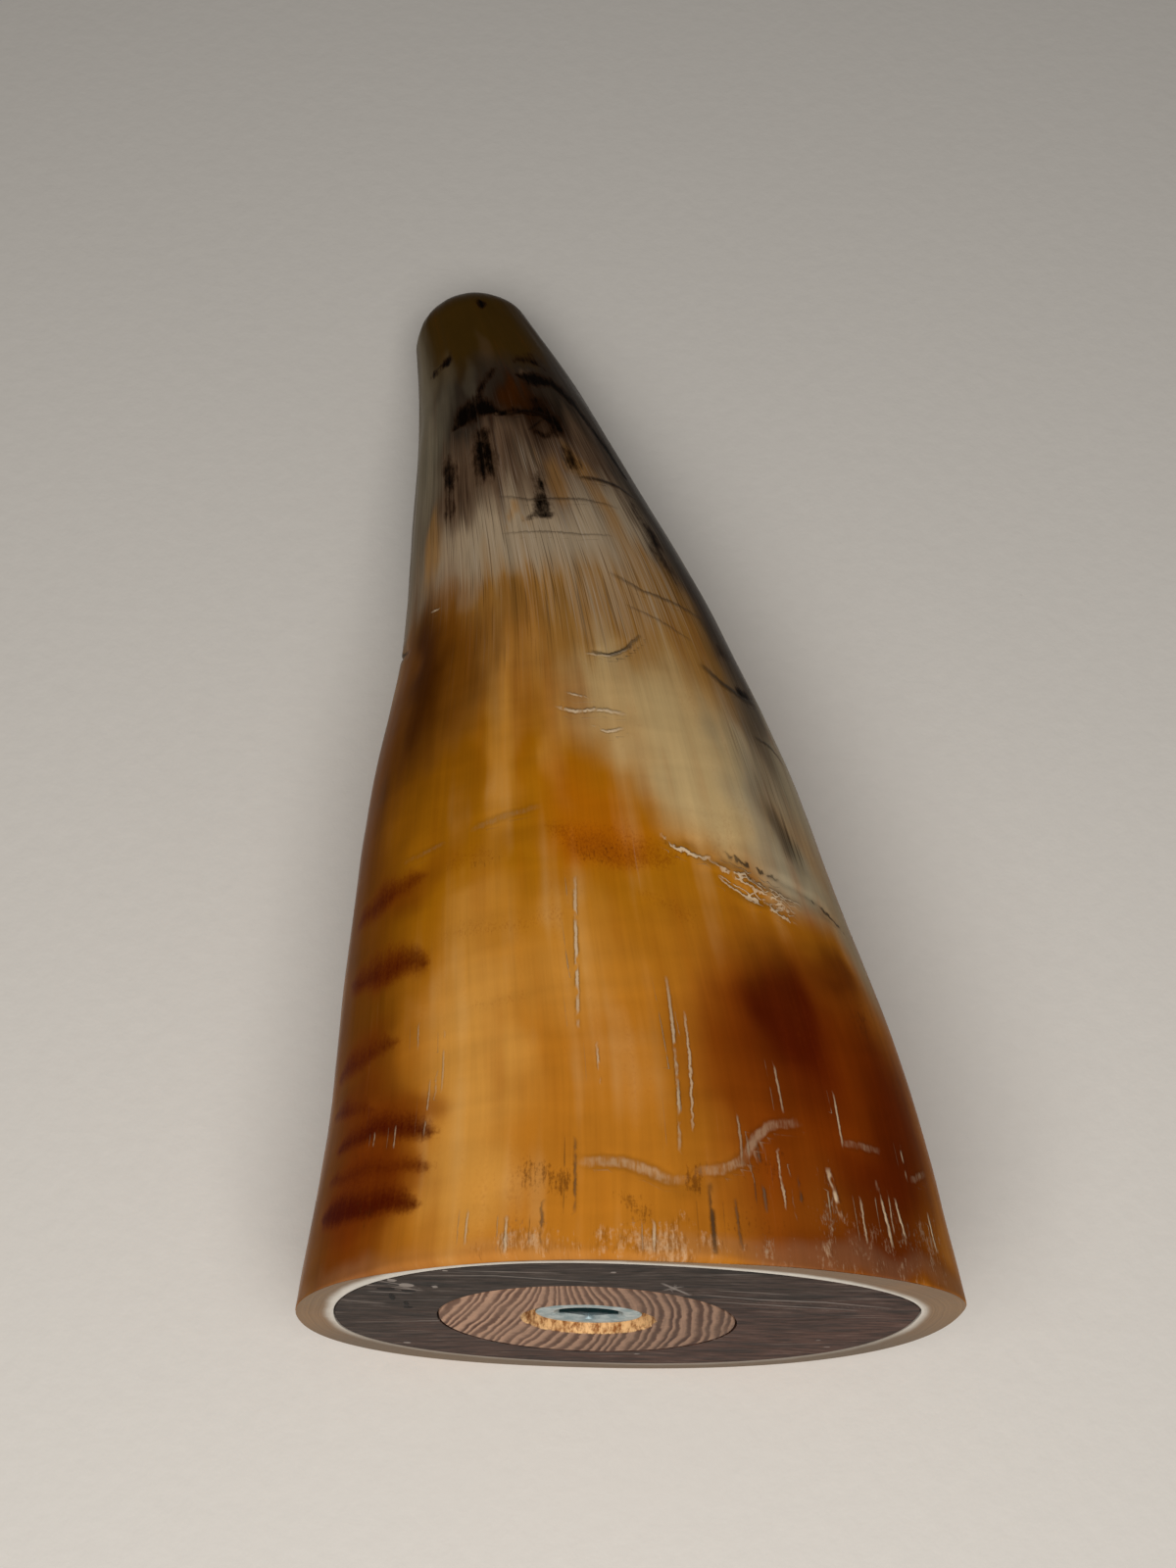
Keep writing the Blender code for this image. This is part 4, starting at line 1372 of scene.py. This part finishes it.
class MetalSettings(bpy.types.PropertyGroup):
    zinc: colour("Zinc", "The plating where it is bright", (0.78, 0.83, 0.84))
    zinc_dark: colour("Zinc, dull", "The plating where it is dull", (0.62, 0.70, 0.72))
    # the colour of the painted shade deep in the bore
    zinc_bore_shade: colour("Zinc, deep", "The plating deep in the bore", (0.10, 0.26, 0.27))
    inner_pitch: bpy.props.FloatProperty(
        name="Inner pitch", description="The machine thread's pitch", default=1.5 * MM,
        min=0.5 * MM, max=3 * MM, unit="LENGTH",
    )
    outer_pitch: bpy.props.FloatProperty(
        name="Outer pitch", description="The wood thread's pitch", default=2.8 * MM,
        min=1 * MM, max=5 * MM, unit="LENGTH",
    )


class StageSettings(bpy.types.PropertyGroup):
    floor: colour("Floor", "The table's paint", (0.874, 0.861, 0.836))
    speck: colour("Speck", "Dust on the table", (0.42, 0.33, 0.28))
    lamp_power: bpy.props.FloatProperty(
        name="Lamp power", description="The large soft lamp", default=4.6, min=0.0, unit="POWER"
    )
    sky: bpy.props.FloatProperty(
        name="Sky", description="Light from all round", default=0.10, min=0.0, max=5.0
    )


# ---- operators ---------------------------------------------------------------------------------------
class MakeHorn(bpy.types.Operator):
    """Make the horn itself: its skin, its sawn rim and the hollow inside"""

    bl_idname = "buffalo_horn.make_horn"
    bl_label = "Horn"

    def execute(self, context):
        colours = context.scene.horn_colours
        ring = ring_of(HORN_COLUMNS)
        along, angle = np.meshgrid(skin_rows(), ring, indexing="ij")
        side, along_mm = side_of(angle), along / MM
        girth = 2 * pi * np.sqrt((half_width_at(along) ** 2 + half_height_at(along) ** 2) / 2)
        places = (along_mm, side, girth / MM / 360)
        skin = outer_points(along, angle, relief_of(*places, context.scene.horn_sizes.relief))
        rim, from_hollow = sawn_rim(ring)
        hollow = hollow_points(*np.meshgrid(HOLLOW_DEPTH * round_off(HOLLOW_ROWS), ring, indexing="ij"))

        # one grid from the tip down the skin, over the rim and up the hollow
        grid = np.concatenate([skin[::-1], rim, hollow])
        tip = outer_points(np.array([HORN_LENGTH]), np.array([0.0]))
        end = hollow_points(np.array([HOLLOW_DEPTH]), np.array([0.0]))
        points, faces = capped_grid(grid, tip, end)

        fibre = np.stack([FIBRE_ROUND * np.cos(angle), FIBRE_ROUND * np.sin(angle), along], axis=-1)
        wash = washed(along_mm, side, pigments_of(colours))
        on_skin = {"fibre": fibre, "wash": wash, **skin_masks(*places)}
        attributes = {label: over_horn(values, len(points)) for label, values in on_skin.items()}
        for group, lines in LINE_GROUPS.items():
            field, width = line_field(lines, *places)
            attributes[group] = over_horn(field, len(points))
            attributes[group + "_width"] = over_horn(width, len(points), BARE_WIDTH)

        # the sawn rim knows how far it is from the hollow and where it is, and is tinted by the skin
        first_rim = skin[..., 0].size
        on_rim = slice(first_rim, first_rim + rim[..., 0].size)
        for label in ("from_hollow", "underneath", "at_sides"):
            attributes[label] = np.zeros(len(points))
        attributes["from_hollow"][:first_rim] = FAR_FROM_HOLLOW
        attributes["from_hollow"][on_rim] = from_hollow.ravel()
        # painted shade: marks the rim's lower part, close to the table, for darkening
        beneath = smooth_step(np.abs(side_of(ring)), 85.0, 125.0)
        attributes["underneath"][on_rim] = np.tile(beneath, RIM_ROWS)
        sideways = smooth_step(np.abs(side_of(ring) + 12.0), 42.0, 78.0)
        attributes["at_sides"][on_rim] = np.tile(sideways, RIM_ROWS)
        tinted = attributes["wash"][first_rim - HORN_COLUMNS : first_rim]
        attributes["wash"][on_rim] = np.tile(tinted, (RIM_ROWS, 1))

        horn = mesh_object("horn_body", points, faces, attributes)
        hand_over(horn, "horn", "horn", horn_finish(colours), rim_finish(colours))
        material = np.zeros(len(horn.data.polygons), np.int32)
        material[first_rim - HORN_COLUMNS : (len(grid) - 1) * HORN_COLUMNS] = 1
        material[-HORN_COLUMNS:] = 1
        horn.data.polygons.foreach_set("material_index", material)
        return {"FINISHED"}


class MakePlug(bpy.types.Operator):
    """Make the dark wood plug that fills the horn's base"""

    bl_idname = "buffalo_horn.make_plug"
    bl_label = "Plug"

    def execute(self, context):
        angle = ring_of(WOOD_COLUMNS)
        zero = np.zeros_like(angle)
        depths = HOLLOW_DEPTH * round_off(PLUG_ROWS)[::-1]
        body = [hollow_points(zero + depth, angle, WOOD_GAP) for depth in depths]
        lip_back = hollow_points(zero, angle, WOOD_GAP) + np.array([0.0, LIP_DEPTH, 0.0])
        lip_front = hollow_points(zero, angle, WOOD_GAP + LIP_INSET)
        recess = DISC_RADIUS + WOOD_GAP
        mouth = circle_row(angle, DISC_X, BASE_Y, DISC_Z, recess)
        shares = np.linspace(0.0, 1.0, PLUG_FACE_ROWS)
        face = [lip_front * (1 - share) + mouth * share for share in shares]
        floor_y = BASE_Y + DISC_THICKNESS + WOOD_GAP
        inner = [
            circle_row(angle, DISC_X, floor_y, DISC_Z, recess),
            circle_row(angle, SINK_X, floor_y, SINK_Z, HOLE_RADIUS),
            circle_row(angle, SINK_X, BASE_Y + HOLE_DEPTH, SINK_Z, HOLE_RADIUS),
        ]
        back = hollow_points(np.array([HOLLOW_DEPTH * 0.999]), np.array([0.0]), WOOD_GAP)
        hole_end = np.array([[SINK_X, BASE_Y + HOLE_DEPTH, SINK_Z]])
        points, faces = capped_grid(np.stack([*body, lip_back, *face, *inner]), back, hole_end)
        across = (points[:, 0] - DISC_X) / MM
        up = (points[:, 2] - DISC_Z) / MM
        attributes = {
            "pale_flakes": face_mask(PLUG_FLAKES, across, up),
            "knot_holes": face_mask(PLUG_HOLES, across, up),
            "scratches": line_field(PLUG_SCRATCHES, up, across, 1.0)[0],
        }
        plug = mesh_object("dark_wood_plug", points, faces, attributes)
        hand_over(plug, "base_plug", "dark_wood", plug_finish(context.scene.horn_wood))
        return {"FINISHED"}


class MakeDisc(bpy.types.Operator):
    """Make the striped wood disc with the sinking for the insert"""

    bl_idname = "buffalo_horn.make_disc"
    bl_label = "Disc"

    def execute(self, context):
        angle = ring_of(WOOD_COLUMNS)
        level = np.zeros_like(angle)
        chip = 0.22 * lattice_noise(angle * 40 / (2 * pi), level, 31, 40)
        chip = chip + 0.30 * np.maximum(lattice_noise(angle * 14 / (2 * pi), level, 32, 14), 0.0)
        chip = chip * MM
        rows, fresh = [], []

        def add(depth, radius, freshness=0.0, to_sink=1.0):
            """A ring at this depth, round the disc's middle or some of the way to the sinking's."""
            x, z = DISC_X * (1 - to_sink) + SINK_X * to_sink, DISC_Z * (1 - to_sink) + SINK_Z * to_sink
            rows.append(circle_row(angle, x, BASE_Y + depth, z, radius))
            fresh.append(np.full(len(angle), freshness))

        edge = DISC_RADIUS - DISC_EDGE_GAP
        back = DISC_THICKNESS - DISC_EDGE_GAP
        add(back, edge, to_sink=0.0)
        for depth, inset in ((0.3, 0.0), (0.05, 0.15)):
            add(depth * MM, edge - inset * MM, to_sink=0.0)
        for share in np.linspace(0.0, 1.0, DISC_FACE_ROWS):
            radius = (edge - 0.4 * MM) * (1 - share) + (SINK_MOUTH_RADIUS + 0.9 * MM) * share
            add(0.0, radius, to_sink=share)
        add(0.0, SINK_MOUTH_RADIUS + 0.25 * MM + chip, 0.25)
        add(0.25 * MM, SINK_MOUTH_RADIUS + chip * 0.6, 0.8)
        for share in np.linspace(0.2, 1.0, SINK_ROWS):
            radius = SINK_MOUTH_RADIUS * (1 - share) + SINK_FLOOR_RADIUS * share
            torn = 0.10 * MM * lattice_noise(angle * 64 / (2 * pi), level + share * 3, 33)
            add(SINK_DEPTH * share - 0.1 * MM, radius + torn, 1.0)
        add(SINK_DEPTH, SINK_FLOOR_RADIUS - 0.25 * MM, 1.0)
        add(SINK_DEPTH, HOLE_RADIUS, 1.0)
        add(back, HOLE_RADIUS, 1.0)
        points = np.concatenate(rows)
        faces = [grid_faces(len(rows), WOOD_COLUMNS, close_rows=True)[:, ::-1]]
        disc = mesh_object("striped_wood_disc", points, faces, {"fresh_cut": np.concatenate(fresh)})
        hand_over(disc, "wood_disc", "striped_wood", disc_finish(context.scene.horn_wood))
        return {"FINISHED"}


class MakeInsert(bpy.types.Operator):
    """Make the threaded insert: flange, hexagon and both threads"""

    bl_idname = "buffalo_horn.make_insert"
    bl_label = "Insert"

    def execute(self, context):
        metal = context.scene.horn_metal
        angle = ring_of(METAL_COLUMNS)
        corner, flat = -pi / 2, 2 * pi / 6
        from_flat = (angle - corner) % flat - flat / 2
        hexagon = HEX_ACROSS_FLATS / 2 / np.cos(from_flat)
        rows, deep = [], []

        # painted shade: the side walls are darkened from just under the mouth, the lower one further down
        dark_from = (0.35 + 0.75 * np.clip(-np.sin(angle), 0.0, 1.0) ** 2) * MM

        def add(depth, radius, inside=False):
            rows.append(circle_row(angle, 0.0, depth, 0.0, radius))
            deep.append(np.clip((depth - dark_from) / (0.2 * MM), 0.0, 1.0) * inside)

        def thread(depth, pitch, height):
            turn = (depth / pitch + angle / (2 * pi)) % 1.0
            return height * (1.0 - np.abs(2 * turn - 1.0))

        # up the outside: the wood thread, then the flange
        root = BARREL_RADIUS - WOOD_THREAD_HEIGHT
        for depth in np.linspace(INSERT_LENGTH, FLANGE_THICKNESS + 1 * MM, WOOD_THREAD_ROWS):
            add(depth, root + thread(depth, metal.outer_pitch, WOOD_THREAD_HEIGHT))
        add(FLANGE_THICKNESS + 0.1 * MM, BARREL_RADIUS - 0.6 * MM)
        add(FLANGE_THICKNESS, BARREL_RADIUS)
        add(FLANGE_THICKNESS, FLANGE_RADIUS - 0.15 * MM)
        add(FLANGE_THICKNESS - 0.15 * MM, FLANGE_RADIUS)
        for depth, inset in ((0.45, 0.0), (0.18, 0.10), (0.04, 0.38), (0.0, 0.9)):
            add(depth * MM, FLANGE_RADIUS - inset * MM)
        for depth, outset in ((0.0, 1.3), (0.05, 0.55), (0.25, 0.15), (0.25, 0.0)):
            add(depth * MM, MOUTH_RADIUS + outset * MM)
        # down the inside: the mouth, the hexagon, the machine thread
        add(0.5 * MM, hexagon * 0.3 + 0.7 * (MOUTH_RADIUS - 0.05 * MM), True)
        for depth in (0.75 * MM, 0.95 * MM, 1.15 * MM, 1.35 * MM, 1.55 * MM, 0.6 * HEX_DEPTH, HEX_DEPTH):
            add(depth, hexagon, True)
        add(HEX_DEPTH + 0.1 * MM, BORE_RADIUS + 0.5 * MM, True)
        for depth in np.linspace(HEX_DEPTH + 0.3 * MM, INSERT_LENGTH - 0.2 * MM, MACHINE_THREAD_ROWS):
            add(depth, BORE_RADIUS + thread(depth, metal.inner_pitch, MACHINE_THREAD_HEIGHT), True)
        add(INSERT_LENGTH, BORE_RADIUS + 0.9 * MM, True)
        faces = [grid_faces(len(rows), METAL_COLUMNS, close_rows=True)[:, ::-1]]
        tilt = np.array(Euler((INSERT_TILT, 0.0, 0.0)).to_matrix())
        middle = np.array([SINK_X, BASE_Y + FLANGE_MIDDLE_DEPTH, SINK_Z])
        points = np.concatenate(rows) @ tilt.T + middle
        insert = mesh_object("zinc_insert", points, faces, {"bore_shade": np.concatenate(deep)}, radians(30))
        hand_over(insert, "threaded_insert", "plated_steel", insert_finish(metal))
        return {"FINISHED"}


class MakeStage(bpy.types.Operator):
    """Make the table, the lights and the camera"""

    bl_idname = "buffalo_horn.make_stage"
    bl_label = "Table, lights and camera"

    def execute(self, context):
        stage = context.scene.horn_stage
        corners = np.array([(-1, -1, 0), (1, -1, 0), (1, 1, 0), (-1, 1, 0)]) * TABLE_REACH
        table = mesh_object("table", corners, [np.array([[0, 1, 2, 3]])])
        table.location.z = -TABLE_DROP
        table.data.materials.append(floor_finish(stage))

        lamp = bpy.data.lights.new("large lamp", "AREA")
        lamp.shape = "RECTANGLE"
        lamp.size, lamp.size_y = LAMP_SIZE
        lamp.energy = stage.lamp_power
        lamp.color = LAMP_TINT
        hung = bpy.data.objects.new("large lamp", lamp)
        hung.location = LAMP_PLACE
        hung.rotation_euler = LAMP_TURN
        context.scene.collection.objects.link(hung)

        world = bpy.data.worlds.new("room")
        context.scene.world = world
        world.use_nodes = True
        background = world.node_tree.nodes["Background"]
        background.inputs["Color"].default_value = ROOM_TINT
        background.inputs["Strength"].default_value = stage.sky
        context.scene.view_settings.view_transform = "Standard"

        lens = bpy.data.cameras.new("camera")
        lens.lens = LENS_LENGTH
        lens.sensor_width = SENSOR_SIZE
        lens.dof.use_dof = False
        camera = bpy.data.objects.new("camera", lens)
        camera.location = CAMERA_PLACE
        camera.rotation_euler = CAMERA_TURN
        context.scene.collection.objects.link(camera)
        context.scene.camera = camera
        return {"FINISHED"}


class HornPanel(bpy.types.Panel):
    """The pieces of the horn, and what can be changed about them"""

    bl_idname = "VIEW3D_PT_buffalo_horn"
    bl_label = "Buffalo Horn"
    bl_space_type = "VIEW_3D"
    bl_region_type = "UI"
    bl_category = "Horn"

    def draw(self, context):
        for operator in OPERATORS:
            self.layout.operator(operator.bl_idname, text=operator.bl_label)
        for label, group in SETTINGS.items():
            box = self.layout.box()
            settings = getattr(context.scene, label)
            for name in group.__annotations__:
                box.prop(settings, name)


SETTINGS = {
    "horn_colours": HornColours,
    "horn_sizes": HornSizes,
    "horn_wood": WoodSettings,
    "horn_metal": MetalSettings,
    "horn_stage": StageSettings,
}
OPERATORS = (MakeHorn, MakePlug, MakeDisc, MakeInsert, MakeStage)


def register():
    for made in (*SETTINGS.values(), *OPERATORS, HornPanel):
        bpy.utils.register_class(made)
    for label, group in SETTINGS.items():
        setattr(bpy.types.Scene, label, bpy.props.PointerProperty(type=group))


def unregister():
    for label in SETTINGS:
        delattr(bpy.types.Scene, label)
    for made in (HornPanel, *reversed(OPERATORS), *reversed(SETTINGS.values())):
        bpy.utils.unregister_class(made)


def main():
    """Make every piece."""
    register()
    bpy.ops.buffalo_horn.make_horn()
    bpy.ops.buffalo_horn.make_plug()
    bpy.ops.buffalo_horn.make_disc()
    bpy.ops.buffalo_horn.make_insert()
    bpy.ops.buffalo_horn.make_stage()


if __name__ == "__main__":
    main()
